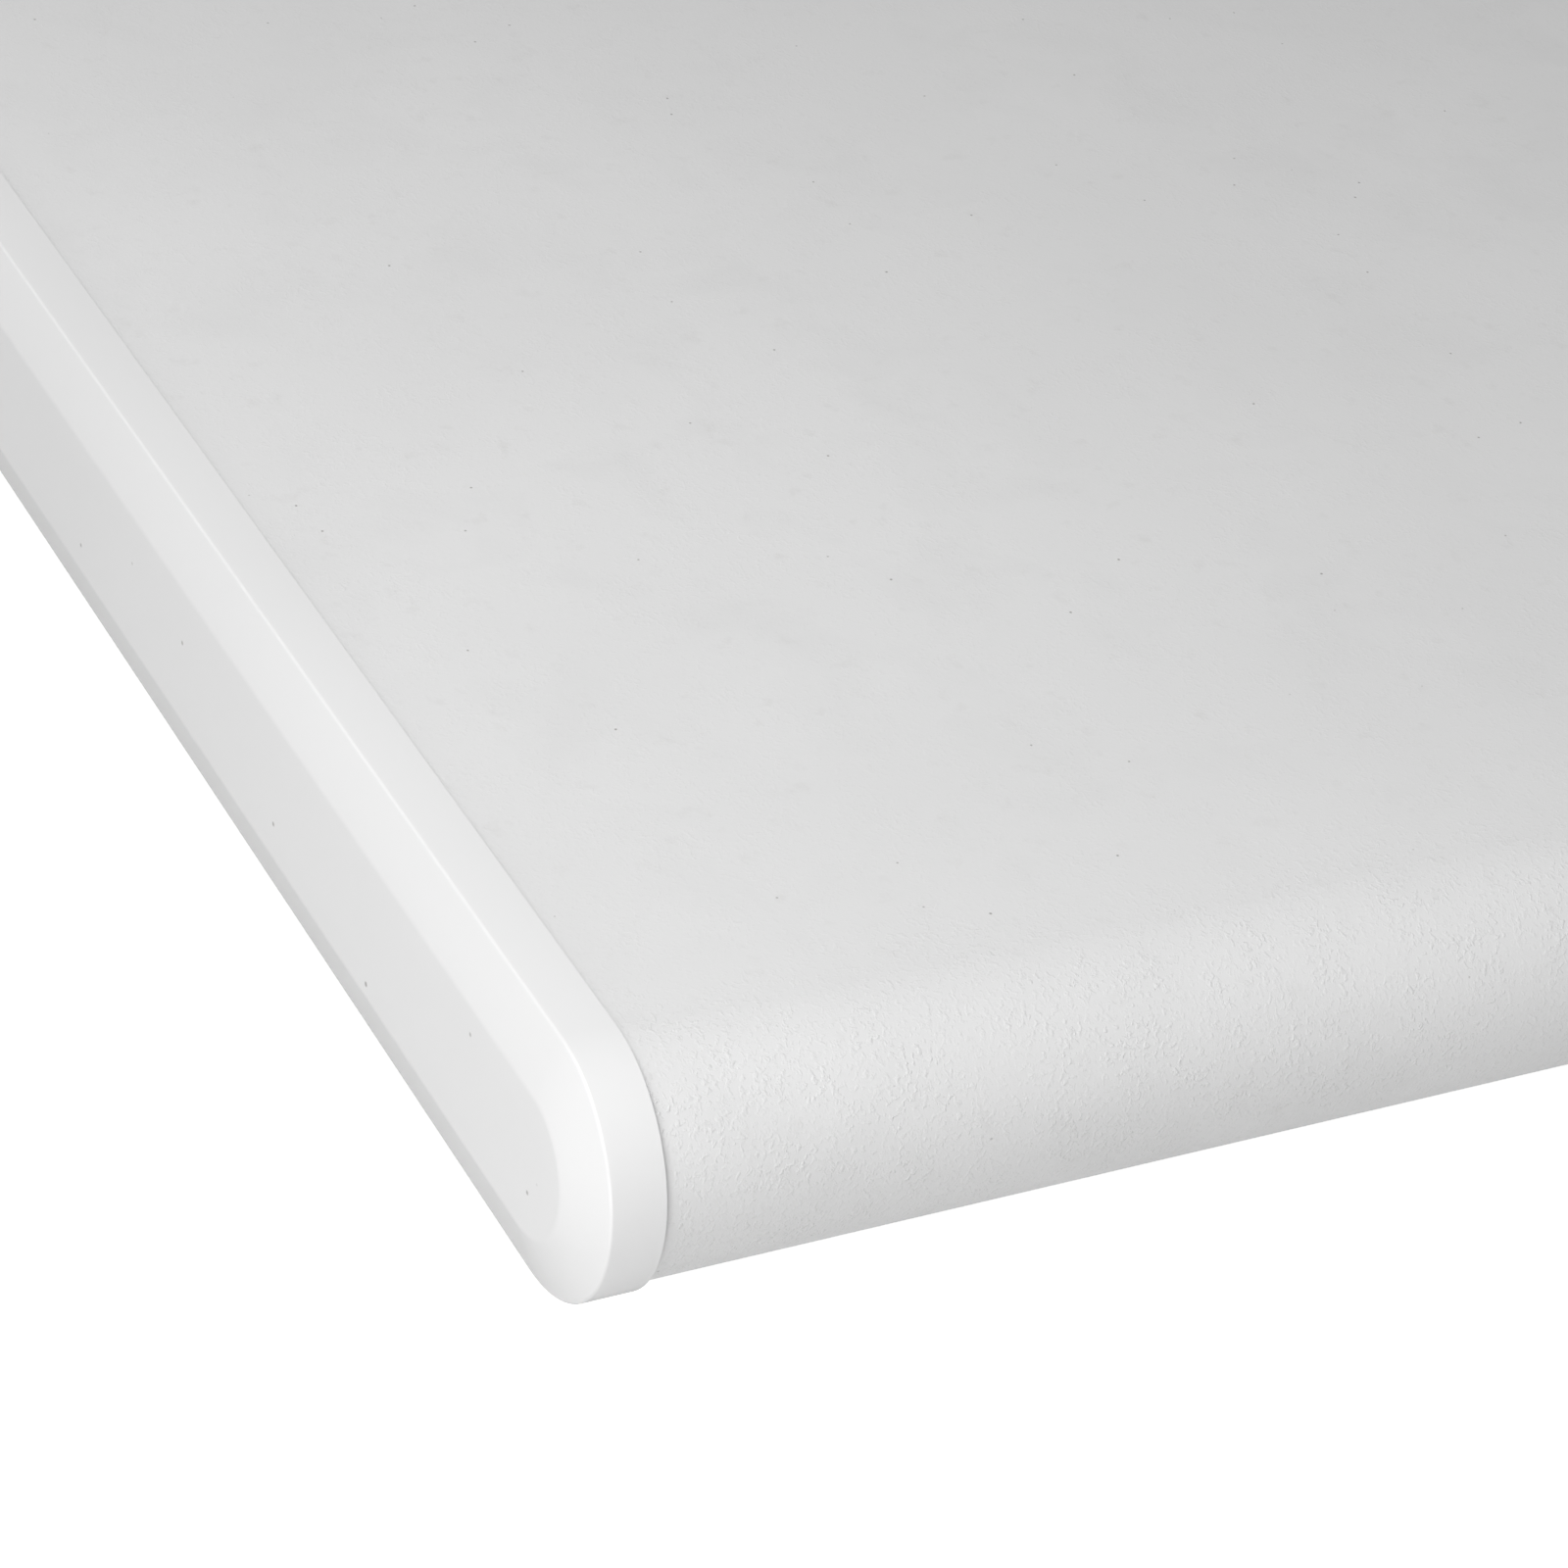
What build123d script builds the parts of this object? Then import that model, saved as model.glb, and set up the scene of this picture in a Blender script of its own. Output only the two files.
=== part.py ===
from build123d import *

import os

# A residential diving board on its deck-mounted spring stand.
#
# The board is an extruded hollow plank with two full-round long edges, closed at the tip and at
# the butt by moulded end caps that plug into its cells. It is bolted to a rocker frame, which
# turns about a hinge pin near the butt and stands on two coil springs under the fulcrum. A base
# of two bent tube hoops carries the hinge and the springs, and is anchored to the pool deck.
#
# Millimetres. The origin is the centre of the deck anchor pattern, on the deck. +Z is up, the
# tip points along -Y over the water, and X runs across the board.

# ---- Driving dimensions -------------------------------------------------------------------

# Plank
board_length = 1829.0        # over both end caps
board_width = 457.0
board_thickness = 50.0
skin = 3.5                   # wall of the extrusion
web_thickness = 3.0
web_pitch = 68.0
web_count = 5
butt_y = 400.0               # outer face of the butt cap

# End caps
cap_proud = 1.2              # how far a cap stands outside the plank all round
cap_rim = 10.5
cap_bevel_depth = 3.9
cap_bevel_width = 12.0
cap_edge_round = 0.8         # on both edges of the bevel
cap_face_wall = 3.0
plug_length = 30.0
plug_clearance = 0.4
plug_wall = 3.0
cap_screw_radius = 2.1
cap_screw_head_radius = 4.0
cap_screw_length = 14.0

# Base
anchor_spacing_x = 380.0     # between the legs, and between their anchor holes
leg_spacing_y = 900.0
anchor_offset_y = 55.0       # anchor holes fore and aft of each leg
anchor_hole_radius = 7.0
flange_width = 84.0
flange_length = 156.0
flange_thickness = 10.0
flange_corner = 16.0
hoop_tube = 48.3
hoop_wall = 2.6
hoop_bend = 100.0
hoop_z = 190.0               # centre of a hoop's top run
base_beam_depth = 100.0      # along Y
base_beam_height = 40.0
base_beam_wall = 4.0
base_beam_corner = 6.0
gusset_leg = 60.0
gusset_thickness = 6.0

# Hinge
hinge_y = 270.0
hinge_rise = 75.0            # pin centre above the base beam
hinge_pin_radius = 10.0
hinge_boss_radius = 28.0
hinge_plate = 10.0
hinge_foot = 90.0            # width of a hinge plate where it is welded
hinge_strip = 8.0            # straight-sided strip along the weld
hinge_gap = 2.5              # between a rocker ear and each clevis plate
bush_wall = 3.0
running_clearance = 0.05
thrust_clearance = 0.3
pin_washer_thickness = 3.0
pin_washer_radius = 18.5
pin_nut_flats = 30.0
pin_nut_height = 16.0
pin_tail = 2.0               # pin end past its nut
pin_chamfer = 1.0

# Springs
spring_y = -290.0            # springs and fulcrum
spring_x = 80.0
spring_gap = 112.0           # base beam to spring plate, at rest
spring_outer = 76.0
spring_wire = 9.0
spring_turns = 6.5
cup_floor = 5.0
cup_wall = 3.5
cup_height = 12.0
cup_clearance = 0.5
coil_gap = 0.3               # keeps the coil just clear of both cups
spring_plate_thickness = 12.0
spring_plate_depth = 110.0
rebound_bolt_radius = 8.0
rebound_clearance = 4.0      # radial, where the rocker slides along the bolt
rebound_head_flats = 24.0
rebound_head_height = 10.0
rebound_nut_height = 13.0
rebound_washer_radius = 20.0
rebound_washer_thickness = 3.0
rebound_buffer_height = 8.0
rebound_buffer_inset = 1.0   # the washer stands out past the buffer by this
rebound_buffer_gap = 0.3     # buffer to spring plate, at rest
rebound_tail = 3.0           # bolt end past its nut
bump_gap = 31.0              # bump stop to the spring beam, at rest
bump_stop_radius = 25.0
bump_waist_radius = 20.0
bump_nose_radius = 14.0
bump_shoulder_share = 0.15   # of the stop's height, straight-sided under the plate
bump_nose_share = 0.3        # of the stop's height, rounded in to the nose
bump_stud_radius = 5.0
bump_stud_tail = 2.0         # stud end past its nut
bump_nut_flats = 17.0
bump_nut_height = 8.0
bump_washer_radius = 10.5

# Rocker
rail_gap = 16.0              # between a rail and the nut washers beside it
rail_width = 40.0
rail_height = 60.0
rail_wall = 3.0
rail_corner = 5.0
rail_overhang_front = 60.0   # beyond the springs
rail_overhang_back = 115.0   # beyond the hinge
cross_beam_depth = 60.0
cross_beam_height = 40.0
beam_inset = 18.5            # the board overhangs its cross beams by this, each side
brace_size = 40.0
brace_y = -50.0
end_plug_lip = 3.0
end_plug_depth = 20.0
pad_thickness = 10.0
fulcrum_pad_edge = 5.0       # pad height at its long edges, under the crown
fulcrum_pad_width = 54.0
pad_screw_radius = 4.0
pad_screw_head_radius = 6.8
pad_screw_head_height = 4.0
pad_screw_bore_radius = 8.0  # of the counterbore in the rubber
pad_screw_seat = 4.0         # rubber left under a screw's head
pad_screw_margin = 50.0      # from a beam's end to the outer screws

# Board bolts
bolt_row_spacing = 150.0
bolt_radius = 6.0
bolt_hole_clearance = 0.5
bolt_head_radius = 14.0
bolt_head_height = 7.0
bolt_head_edge = 1.0         # straight edge under the dome
bolt_chamfer = 1.0
bolt_washer_radius = 22.0
bolt_washer_thickness = 3.0
bolt_gasket_thickness = 2.0
sleeve_wall = 4.0
bolt_nut_flats = 19.0
bolt_nut_height = 12.0
nut_washer_radius = 12.0
nut_washer_thickness = 2.5
nut_turned_share = 0.56      # radius that a nut's corners are turned to, of its flats
bolt_tail = 4.0              # bolt end past its nut

# Bonding lug
lug_width = 14.0
lug_length = 26.0
lug_height = 12.0
lug_corner = 1.5
lug_margin = 2.0             # from the flange's edge
lug_bore_radius = 2.5
lug_screw_radius = 3.0
lug_screw_flats = 9.6
lug_screw_head = 3.0
lug_screw_gap = 1.0          # under the screw's head, with the wire clamped

# ---- Levels and stations worked out from them ------------------------------------------------

hoop_x = anchor_spacing_x / 2
leg_y = leg_spacing_y / 2
beam_top = hoop_z + base_beam_height / 2
beam_bottom = hoop_z - base_beam_height / 2
hinge_z = beam_top + hinge_rise
plate_bottom = beam_top + spring_gap
bump_stop_height = spring_gap - bump_gap
rail_bottom = plate_bottom + spring_plate_thickness
rail_top = rail_bottom + rail_height
cross_beam_top = rail_top + cross_beam_height
board_bottom = cross_beam_top + pad_thickness
board_top = board_bottom + board_thickness
board_middle = (board_bottom + board_top) / 2

cross_beam_length = board_width - 2 * beam_inset
cap_length = cap_rim + cap_bevel_depth
plank_back = butt_y - cap_length
plank_front = butt_y - board_length + cap_length
plank_length = plank_back - plank_front
plank_centre_y = (plank_back + plank_front) / 2

bolt_x = 1.5 * web_pitch                      # the middle of a cell
bolt_rows = [hinge_y - bolt_row_spacing / 2, hinge_y + bolt_row_spacing / 2]
bolt_points = [(x, y) for x in (-bolt_x, bolt_x) for y in bolt_rows]
bolt_hole_radius = bolt_radius + bolt_hole_clearance

rail_x = bolt_x + nut_washer_radius + rail_gap + rail_width / 2
rail_front = spring_y - rail_overhang_front
rail_back = hinge_y + rail_overhang_back
rail_inner = rail_x - rail_width / 2
ear_x = rail_inner - hinge_plate              # inner face of a rocker ear
spring_points = [(-spring_x, spring_y), (spring_x, spring_y)]
pad_screw_x = cross_beam_length / 2 - pad_screw_margin
pad_screw_points = [(x, spring_y) for x in (-pad_screw_x, 0, pad_screw_x)]

SIDES = {"left": -1, "right": 1}              # left and right of a diver facing the butt
os.makedirs("parts", exist_ok=True)


def save(piece, name):
    """Labels a finished piece and writes it as its own STEP file."""
    piece.part.label = name
    export_step(piece.part, f"parts/{name}.step")


# ---- Board -------------------------------------------------------------------------------------


def across(y):
    """The plane across the board at station y, on which solids are extruded towards the tip."""
    return Plane.XZ.offset(-y)


def stadium(inset):
    """Draws the plank's outline in the open sketch, drawn in by inset."""
    with Locations((0, board_middle)):
        SlotOverall(board_width - 2 * inset, board_thickness - 2 * inset)


def cells(gap):
    """Draws the plank's hollow cells in the open sketch, each drawn in by gap all round."""
    stadium(skin + gap)
    with Locations((0, board_middle)):
        with GridLocations(web_pitch, 1, web_count, 1):
            Rectangle(web_thickness + 2 * gap, board_thickness, mode=Mode.SUBTRACT)


cap_screw_y = plank_front + plug_length / 2
cap_screw_points = [(n * web_pitch / 2, cap_screw_y) for n in (-3, -1, 1, 3)]
butt_screw_points = [(x, 2 * plank_centre_y - y) for x, y in cap_screw_points]

with BuildPart() as plank:
    with BuildSketch(across(plank_back)):
        stadium(0)
    extrude(amount=plank_length)
    with BuildSketch(across(plank_back)):
        cells(0)
    extrude(amount=plank_length, mode=Mode.SUBTRACT)
    with BuildSketch(Plane.XY.offset(board_bottom)):
        with Locations(*bolt_points):
            Circle(bolt_hole_radius)
    extrude(amount=board_thickness, mode=Mode.SUBTRACT)
    # Countersunk holes for the cap screws, in the lower skin only
    with Locations(*[Location((x, y, board_bottom), (180, 0, 0))
                     for x, y in cap_screw_points + butt_screw_points]):
        CounterSinkHole(cap_screw_radius, cap_screw_head_radius, depth=skin)
save(plank, "plank")

# A cap is a bevelled plate that stands a little proud of the plank, with an open-backed plug
# for each cell.
with BuildPart() as tip_end_cap:
    with BuildSketch(across(plank_front)):
        stadium(-cap_proud)
    extrude(amount=cap_rim)
    with BuildSketch(across(plank_front - cap_rim)):
        stadium(-cap_proud)
    with BuildSketch(across(plank_front - cap_length)):
        stadium(cap_bevel_width - cap_proud)
    loft(ruled=True)
    outlines = tip_end_cap.edges().group_by(Axis.Y)
    fillet(outlines[0] + outlines[2], cap_edge_round)
    with BuildSketch(across(plank_front + plug_length)):
        cells(plug_clearance)
    extrude(amount=plug_length)
    with BuildSketch(across(plank_front + plug_length)):
        cells(plug_clearance + plug_wall)
    extrude(amount=plug_length + cap_rim - cap_face_wall, mode=Mode.SUBTRACT)
    with BuildSketch(Plane.XY.offset(board_bottom)):
        with Locations(*cap_screw_points):
            Circle(cap_screw_radius)
    extrude(amount=cap_screw_length, mode=Mode.SUBTRACT)
save(tip_end_cap, "tip_end_cap")

plank_middle = across(plank_centre_y)
with BuildPart() as butt_end_cap:
    mirror(tip_end_cap.part, about=plank_middle)
save(butt_end_cap, "butt_end_cap")

# Countersunk screws, heads down and flush with the lower skin
cap_screw_sink = cap_screw_head_radius - cap_screw_radius
with BuildPart() as cap_screw:
    with BuildSketch(Plane.XZ):
        with BuildLine():
            Polyline(
                (0, 0),
                (cap_screw_head_radius, 0),
                (cap_screw_radius, cap_screw_sink),
                (cap_screw_radius, cap_screw_length - cap_screw_radius),
                (0, cap_screw_length),
                close=True,
            )
        make_face()
    revolve(axis=Axis.Z)
for name, points in {"tip_cap_screws": cap_screw_points,
                     "butt_cap_screws": butt_screw_points}.items():
    with BuildPart() as cap_screws:
        with Locations(*[(x, y, board_bottom) for x, y in points]):
            add(cap_screw.part)
    save(cap_screws, name)


# ---- Board bolts -------------------------------------------------------------------------------


def discs(points, z, height, radius, hole):
    """A group of washers, sleeves or gaskets: rings of one size standing at z."""
    with BuildPart() as group:
        with BuildSketch(Plane.XY.offset(z)):
            with Locations(*points):
                Circle(radius)
                Circle(hole, mode=Mode.SUBTRACT)
        extrude(amount=height)
    return group


def hex_nuts(points, z, height, flats, hole):
    """A group of hexagon nuts standing at z, with their top corners turned off."""
    with BuildPart() as group:
        with BuildSketch(Plane.XY.offset(z)):
            with Locations(*points):
                RegularPolygon(flats / 2, 6, major_radius=False)
                Circle(hole, mode=Mode.SUBTRACT)
        extrude(amount=height)
        with BuildSketch(Plane.XY.offset(z)):
            with Locations(*points):
                Circle(flats * nut_turned_share)
        extrude(amount=height, mode=Mode.INTERSECT)
    return group


washer_bottom = board_top + bolt_gasket_thickness
head_bottom = washer_bottom + bolt_washer_thickness
nut_top = rail_top - nut_washer_thickness
bolt_bottom = nut_top - bolt_nut_height - bolt_tail

save(discs(bolt_points, board_top, bolt_gasket_thickness, bolt_washer_radius, bolt_radius),
     "board_bolt_gaskets")
save(discs(bolt_points, washer_bottom, bolt_washer_thickness, bolt_washer_radius, bolt_radius),
     "board_bolt_washers")
save(discs(bolt_points, board_bottom + skin, board_thickness - 2 * skin,
           bolt_hole_radius + sleeve_wall, bolt_hole_radius), "crush_sleeves")
save(discs(bolt_points, nut_top, nut_washer_thickness, nut_washer_radius, bolt_radius),
     "board_nut_washers")
save(hex_nuts(bolt_points, nut_top - bolt_nut_height, bolt_nut_height, bolt_nut_flats,
              bolt_radius), "board_nuts")

shank_corner = (bolt_radius - bolt_chamfer, bolt_bottom)
shank_edge = (bolt_radius, bolt_bottom + bolt_chamfer)
dome_edge = (bolt_head_radius, head_bottom + bolt_head_edge)
dome_top = (0, head_bottom + bolt_head_height)
dome_rise = bolt_head_height - bolt_head_edge
dome_arc = (bolt_head_radius**2 + dome_rise**2) / (2 * dome_rise)
with BuildPart() as board_bolt:
    with BuildSketch(Plane.XZ):
        with BuildLine():
            Polyline(dome_top, (0, bolt_bottom), shank_corner, shank_edge,
                     (bolt_radius, head_bottom), (bolt_head_radius, head_bottom), dome_edge)
            RadiusArc(dome_edge, dome_top, -dome_arc)
        make_face()
    revolve(axis=Axis.Z)
with BuildPart() as board_bolts:
    with Locations(*[(x, y, 0) for x, y in bolt_points]):
        add(board_bolt.part)
save(board_bolts, "board_bolts")


# ---- Rocker frame ------------------------------------------------------------------------------


def tube_section(width, height, wall, corner):
    """Adds a rectangular tube's section to the sketch that is being drawn."""
    RectangleRounded(width, height, corner)
    RectangleRounded(width - 2 * wall, height - 2 * wall, corner - wall, mode=Mode.SUBTRACT)


rail_middle = (rail_bottom + rail_top) / 2
for side, sign in SIDES.items():
    with BuildPart() as rail:
        with BuildSketch(across(rail_back)):
            with Locations((sign * rail_x, rail_middle)):
                tube_section(rail_width, rail_height, rail_wall, rail_corner)
        extrude(amount=rail_back - rail_front)
    save(rail, f"rocker_rail_{side}")

with BuildPart() as rail_end_plugs:
    for y, outward in ((rail_front, 1), (rail_back, -1)):
        with BuildSketch(across(y)):
            with GridLocations(2 * rail_x, 1, 2, 1):
                with Locations((0, rail_middle)):
                    RectangleRounded(rail_width, rail_height, rail_corner)
        extrude(amount=outward * end_plug_lip)
        with BuildSketch(across(y)):
            with GridLocations(2 * rail_x, 1, 2, 1):
                with Locations((0, rail_middle)):
                    RectangleRounded(
                        rail_width - 2 * rail_wall - plug_clearance,
                        rail_height - 2 * rail_wall - plug_clearance,
                        rail_corner - rail_wall,
                    )
        extrude(amount=-outward * end_plug_depth)
save(rail_end_plugs, "rail_end_plugs")

with BuildPart() as rocker_brace:
    with BuildSketch(Plane.YZ.offset(-rail_inner)):
        with Locations((brace_y, rail_middle)):
            tube_section(brace_size, brace_size, rail_wall, rail_corner)
    extrude(amount=2 * rail_inner)
save(rocker_brace, "rocker_brace")

with BuildPart() as spring_plate:
    with BuildSketch(Plane.XY.offset(plate_bottom)):
        with Locations((0, spring_y)):
            RectangleRounded(2 * rail_x + rail_width, spring_plate_depth, rail_corner)
        with Locations(*spring_points):
            Circle(rebound_bolt_radius + rebound_clearance, mode=Mode.SUBTRACT)
        with Locations((0, spring_y)):
            Circle(bump_stud_radius, mode=Mode.SUBTRACT)
    extrude(amount=spring_plate_thickness)
save(spring_plate, "spring_plate")

# Cross beams: one under the fulcrum, two under the butt, all of one tube
cross_beam_middle = rail_top + cross_beam_height / 2
cross_beams = {"fulcrum_beam": spring_y, "butt_beam_front": bolt_rows[0],
               "butt_beam_back": bolt_rows[1]}
for name, y in cross_beams.items():
    with BuildPart() as cross_beam:
        with BuildSketch(Plane.YZ.offset(-cross_beam_length / 2)):
            with Locations((y, cross_beam_middle)):
                tube_section(cross_beam_depth, cross_beam_height, rail_wall, rail_corner)
        extrude(amount=cross_beam_length)
        with BuildSketch(Plane.XY.offset(rail_top)):
            if y in bolt_rows:
                with Locations((-bolt_x, y), (bolt_x, y)):
                    Circle(bolt_hole_radius)
            else:
                with Locations(*pad_screw_points):
                    Circle(pad_screw_radius)
        extrude(amount=cross_beam_height, mode=Mode.SUBTRACT)
    save(cross_beam, name)

with BuildPart() as beam_end_plugs:
    for outward in (-1, 1):
        end = Plane.YZ.offset(outward * cross_beam_length / 2)
        with BuildSketch(end):
            with Locations(*[(y, cross_beam_middle) for y in cross_beams.values()]):
                RectangleRounded(cross_beam_depth, cross_beam_height, rail_corner)
        extrude(amount=outward * end_plug_lip)
        with BuildSketch(end):
            with Locations(*[(y, cross_beam_middle) for y in cross_beams.values()]):
                RectangleRounded(
                    cross_beam_depth - 2 * rail_wall - plug_clearance,
                    cross_beam_height - 2 * rail_wall - plug_clearance,
                    rail_corner - rail_wall,
                )
        extrude(amount=-outward * end_plug_depth)
save(beam_end_plugs, "beam_end_plugs")

# Rubber pads: a crowned one on the fulcrum, flat ones under the bolted butt
with BuildPart() as fulcrum_pad:
    with BuildSketch(Plane.YZ.offset(-cross_beam_length / 2)):
        with BuildLine():
            half = fulcrum_pad_width / 2
            edge_z = cross_beam_top + fulcrum_pad_edge
            Polyline((spring_y + half, edge_z), (spring_y + half, cross_beam_top),
                     (spring_y - half, cross_beam_top), (spring_y - half, edge_z))
            ThreePointArc((spring_y - half, edge_z), (spring_y, board_bottom),
                          (spring_y + half, edge_z))
        make_face()
    extrude(amount=cross_beam_length)
    with BuildSketch(Plane.XY.offset(cross_beam_top)):
        with Locations(*pad_screw_points):
            Circle(pad_screw_radius)
    extrude(amount=pad_thickness, mode=Mode.SUBTRACT)
    with BuildSketch(Plane.XY.offset(cross_beam_top + pad_screw_seat)):
        with Locations(*pad_screw_points):
            Circle(pad_screw_bore_radius)
    extrude(amount=pad_thickness, mode=Mode.SUBTRACT)
save(fulcrum_pad, "fulcrum_pad")

# Each screw passes the beam's wall and shows as much again inside the tube
with BuildPart() as fulcrum_pad_screws:
    with BuildSketch(Plane.XY.offset(cross_beam_top + pad_screw_seat)):
        with Locations(*pad_screw_points):
            Circle(pad_screw_head_radius)
    extrude(amount=pad_screw_head_height)
    with BuildSketch(Plane.XY.offset(cross_beam_top - 2 * rail_wall)):
        with Locations(*pad_screw_points):
            Circle(pad_screw_radius)
    extrude(amount=2 * rail_wall + pad_screw_seat)
save(fulcrum_pad_screws, "fulcrum_pad_screws")

for name, y in (("butt_pad_front", bolt_rows[0]), ("butt_pad_back", bolt_rows[1])):
    with BuildPart() as butt_pad:
        with BuildSketch(Plane.XY.offset(cross_beam_top)):
            with Locations((0, y)):
                RectangleRounded(cross_beam_length, cross_beam_depth, rail_corner)
            with Locations((-bolt_x, y), (bolt_x, y)):
                Circle(bolt_hole_radius, mode=Mode.SUBTRACT)
        extrude(amount=pad_thickness)
    save(butt_pad, name)


# ---- Hinge -------------------------------------------------------------------------------------


def hinge_outline(weld_z, inward, hole):
    """Draws a hinge plate in the open sketch: rounded about the pin, straight along the weld."""
    with Locations((hinge_y, hinge_z)):
        Circle(hinge_boss_radius)
    with Locations((hinge_y, weld_z + inward * hinge_strip / 2)):
        Rectangle(hinge_foot, hinge_strip)
    make_hull()
    with Locations((hinge_y, hinge_z)):
        Circle(hole, mode=Mode.SUBTRACT)


bush_radius = hinge_pin_radius + running_clearance + bush_wall
ear_weld_z = rail_top - rail_corner
clevis_inner = ear_x - hinge_gap - hinge_plate
clevis_outer = ear_x + hinge_plate + hinge_gap
for side, sign in SIDES.items():
    with BuildPart() as ear:
        with BuildSketch(Plane.YZ.offset(sign * ear_x)):
            hinge_outline(ear_weld_z, -1, bush_radius)
        extrude(amount=sign * hinge_plate)
    save(ear, f"hinge_ear_{side}")

    with BuildPart() as clevis:
        for x in (clevis_inner, clevis_outer):
            with BuildSketch(Plane.YZ.offset(sign * x)):
                hinge_outline(beam_top, 1, hinge_pin_radius)
            extrude(amount=sign * hinge_plate)
    save(clevis, f"hinge_clevis_{side}")

    # A flanged bush in the ear, and a thrust washer on its other side
    flange = hinge_gap - thrust_clearance
    with BuildPart() as bush:
        with BuildSketch(Plane.YZ.offset(sign * ear_x)):
            with Locations((hinge_y, hinge_z)):
                Circle(bush_radius)
                Circle(hinge_pin_radius + running_clearance, mode=Mode.SUBTRACT)
        extrude(amount=sign * hinge_plate)
        with BuildSketch(Plane.YZ.offset(sign * (ear_x + hinge_plate))):
            with Locations((hinge_y, hinge_z)):
                Circle(bush_radius + bush_wall)
                Circle(hinge_pin_radius + running_clearance, mode=Mode.SUBTRACT)
        extrude(amount=sign * flange)
    save(bush, f"hinge_bush_{side}")

    with BuildPart() as thrust_washer:
        with BuildSketch(Plane.YZ.offset(sign * ear_x)):
            with Locations((hinge_y, hinge_z)):
                Circle(bush_radius + bush_wall)
                Circle(hinge_pin_radius + running_clearance, mode=Mode.SUBTRACT)
        extrude(amount=-sign * flange)
    save(thrust_washer, f"thrust_washer_{side}")

clevis_face = clevis_outer + hinge_plate
pin_half = clevis_face + pin_washer_thickness + pin_nut_height + pin_tail
with BuildPart() as hinge_pin:
    with BuildSketch(Plane.YZ.offset(-pin_half)):
        with Locations((hinge_y, hinge_z)):
            Circle(hinge_pin_radius)
    extrude(amount=2 * pin_half)
    chamfer(hinge_pin.edges().filter_by(GeomType.CIRCLE), pin_chamfer)
save(hinge_pin, "hinge_pin")

with BuildPart() as hinge_pin_washers:
    with BuildSketch(Plane.YZ.offset(clevis_face)):
        with Locations((hinge_y, hinge_z)):
            Circle(pin_washer_radius)
            Circle(hinge_pin_radius, mode=Mode.SUBTRACT)
    extrude(amount=pin_washer_thickness)
    mirror(about=Plane.YZ)
save(hinge_pin_washers, "hinge_pin_washers")

with BuildPart() as hinge_pin_nuts:
    with BuildSketch(Plane.YZ.offset(clevis_face + pin_washer_thickness)):
        with Locations((hinge_y, hinge_z)):
            RegularPolygon(pin_nut_flats / 2, 6, major_radius=False)
            Circle(hinge_pin_radius, mode=Mode.SUBTRACT)
    extrude(amount=pin_nut_height)
    mirror(about=Plane.YZ)
save(hinge_pin_nuts, "hinge_pin_nuts")


# ---- Springs, rebound bolts and bump stop -------------------------------------------------------

cup_radius = spring_outer / 2 + cup_clearance + cup_wall
for side, sign in SIDES.items():
    centre = [(sign * spring_x, spring_y)]
    with BuildPart() as lower_cup:
        with BuildSketch(Plane.XY.offset(beam_top)):
            with Locations(*centre):
                Circle(cup_radius)
                Circle(rebound_bolt_radius, mode=Mode.SUBTRACT)
        extrude(amount=cup_floor)
        with BuildSketch(Plane.XY.offset(beam_top + cup_floor)):
            with Locations(*centre):
                Circle(cup_radius)
                Circle(cup_radius - cup_wall, mode=Mode.SUBTRACT)
        extrude(amount=cup_height - cup_floor)
    save(lower_cup, f"lower_spring_cup_{side}")

    with BuildPart() as upper_cup:
        with BuildSketch(Plane.XY.offset(plate_bottom)):
            with Locations(*centre):
                Circle(cup_radius)
                Circle(rebound_bolt_radius + rebound_clearance, mode=Mode.SUBTRACT)
        extrude(amount=-cup_floor)
        with BuildSketch(Plane.XY.offset(plate_bottom - cup_floor)):
            with Locations(*centre):
                Circle(cup_radius)
                Circle(cup_radius - cup_wall, mode=Mode.SUBTRACT)
        extrude(amount=cup_floor - cup_height)
    save(upper_cup, f"upper_spring_cup_{side}")

    coil_start = beam_top + cup_floor + spring_wire / 2 + coil_gap
    coil_height = spring_gap - 2 * (cup_floor + coil_gap) - spring_wire
    with BuildPart() as coil_spring:
        with BuildLine() as coil:
            Helix(
                pitch=coil_height / spring_turns,
                height=coil_height,
                radius=(spring_outer - spring_wire) / 2,
                center=(sign * spring_x, spring_y, coil_start),
            )
        with BuildSketch(Plane(origin=coil.line @ 0, z_dir=coil.line % 0)):
            Circle(spring_wire / 2)
        sweep()
    save(coil_spring, f"coil_spring_{side}")

buffer_bottom = rail_bottom + rebound_buffer_gap
washer_z = buffer_bottom + rebound_buffer_height
rebound_nut_z = washer_z + rebound_washer_thickness
rebound_top = rebound_nut_z + rebound_nut_height + rebound_tail
rebound_head_z = beam_bottom - rebound_washer_thickness
with BuildPart() as rebound_bolts:
    with BuildSketch(Plane.XY.offset(rebound_head_z - rebound_head_height)):
        with Locations(*spring_points):
            RegularPolygon(rebound_head_flats / 2, 6, major_radius=False)
    extrude(amount=rebound_head_height)
    with BuildSketch(Plane.XY.offset(rebound_head_z)):
        with Locations(*spring_points):
            Circle(rebound_bolt_radius)
    extrude(amount=rebound_top - rebound_head_z)
save(rebound_bolts, "rebound_bolts")
save(discs(spring_points, rebound_head_z, rebound_washer_thickness, rebound_washer_radius,
           rebound_bolt_radius), "rebound_head_washers")
save(discs(spring_points, buffer_bottom, rebound_buffer_height,
           rebound_washer_radius - rebound_buffer_inset, rebound_bolt_radius),
     "rebound_buffers")
save(discs(spring_points, washer_z, rebound_washer_thickness, rebound_washer_radius,
           rebound_bolt_radius), "rebound_washers")
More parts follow.
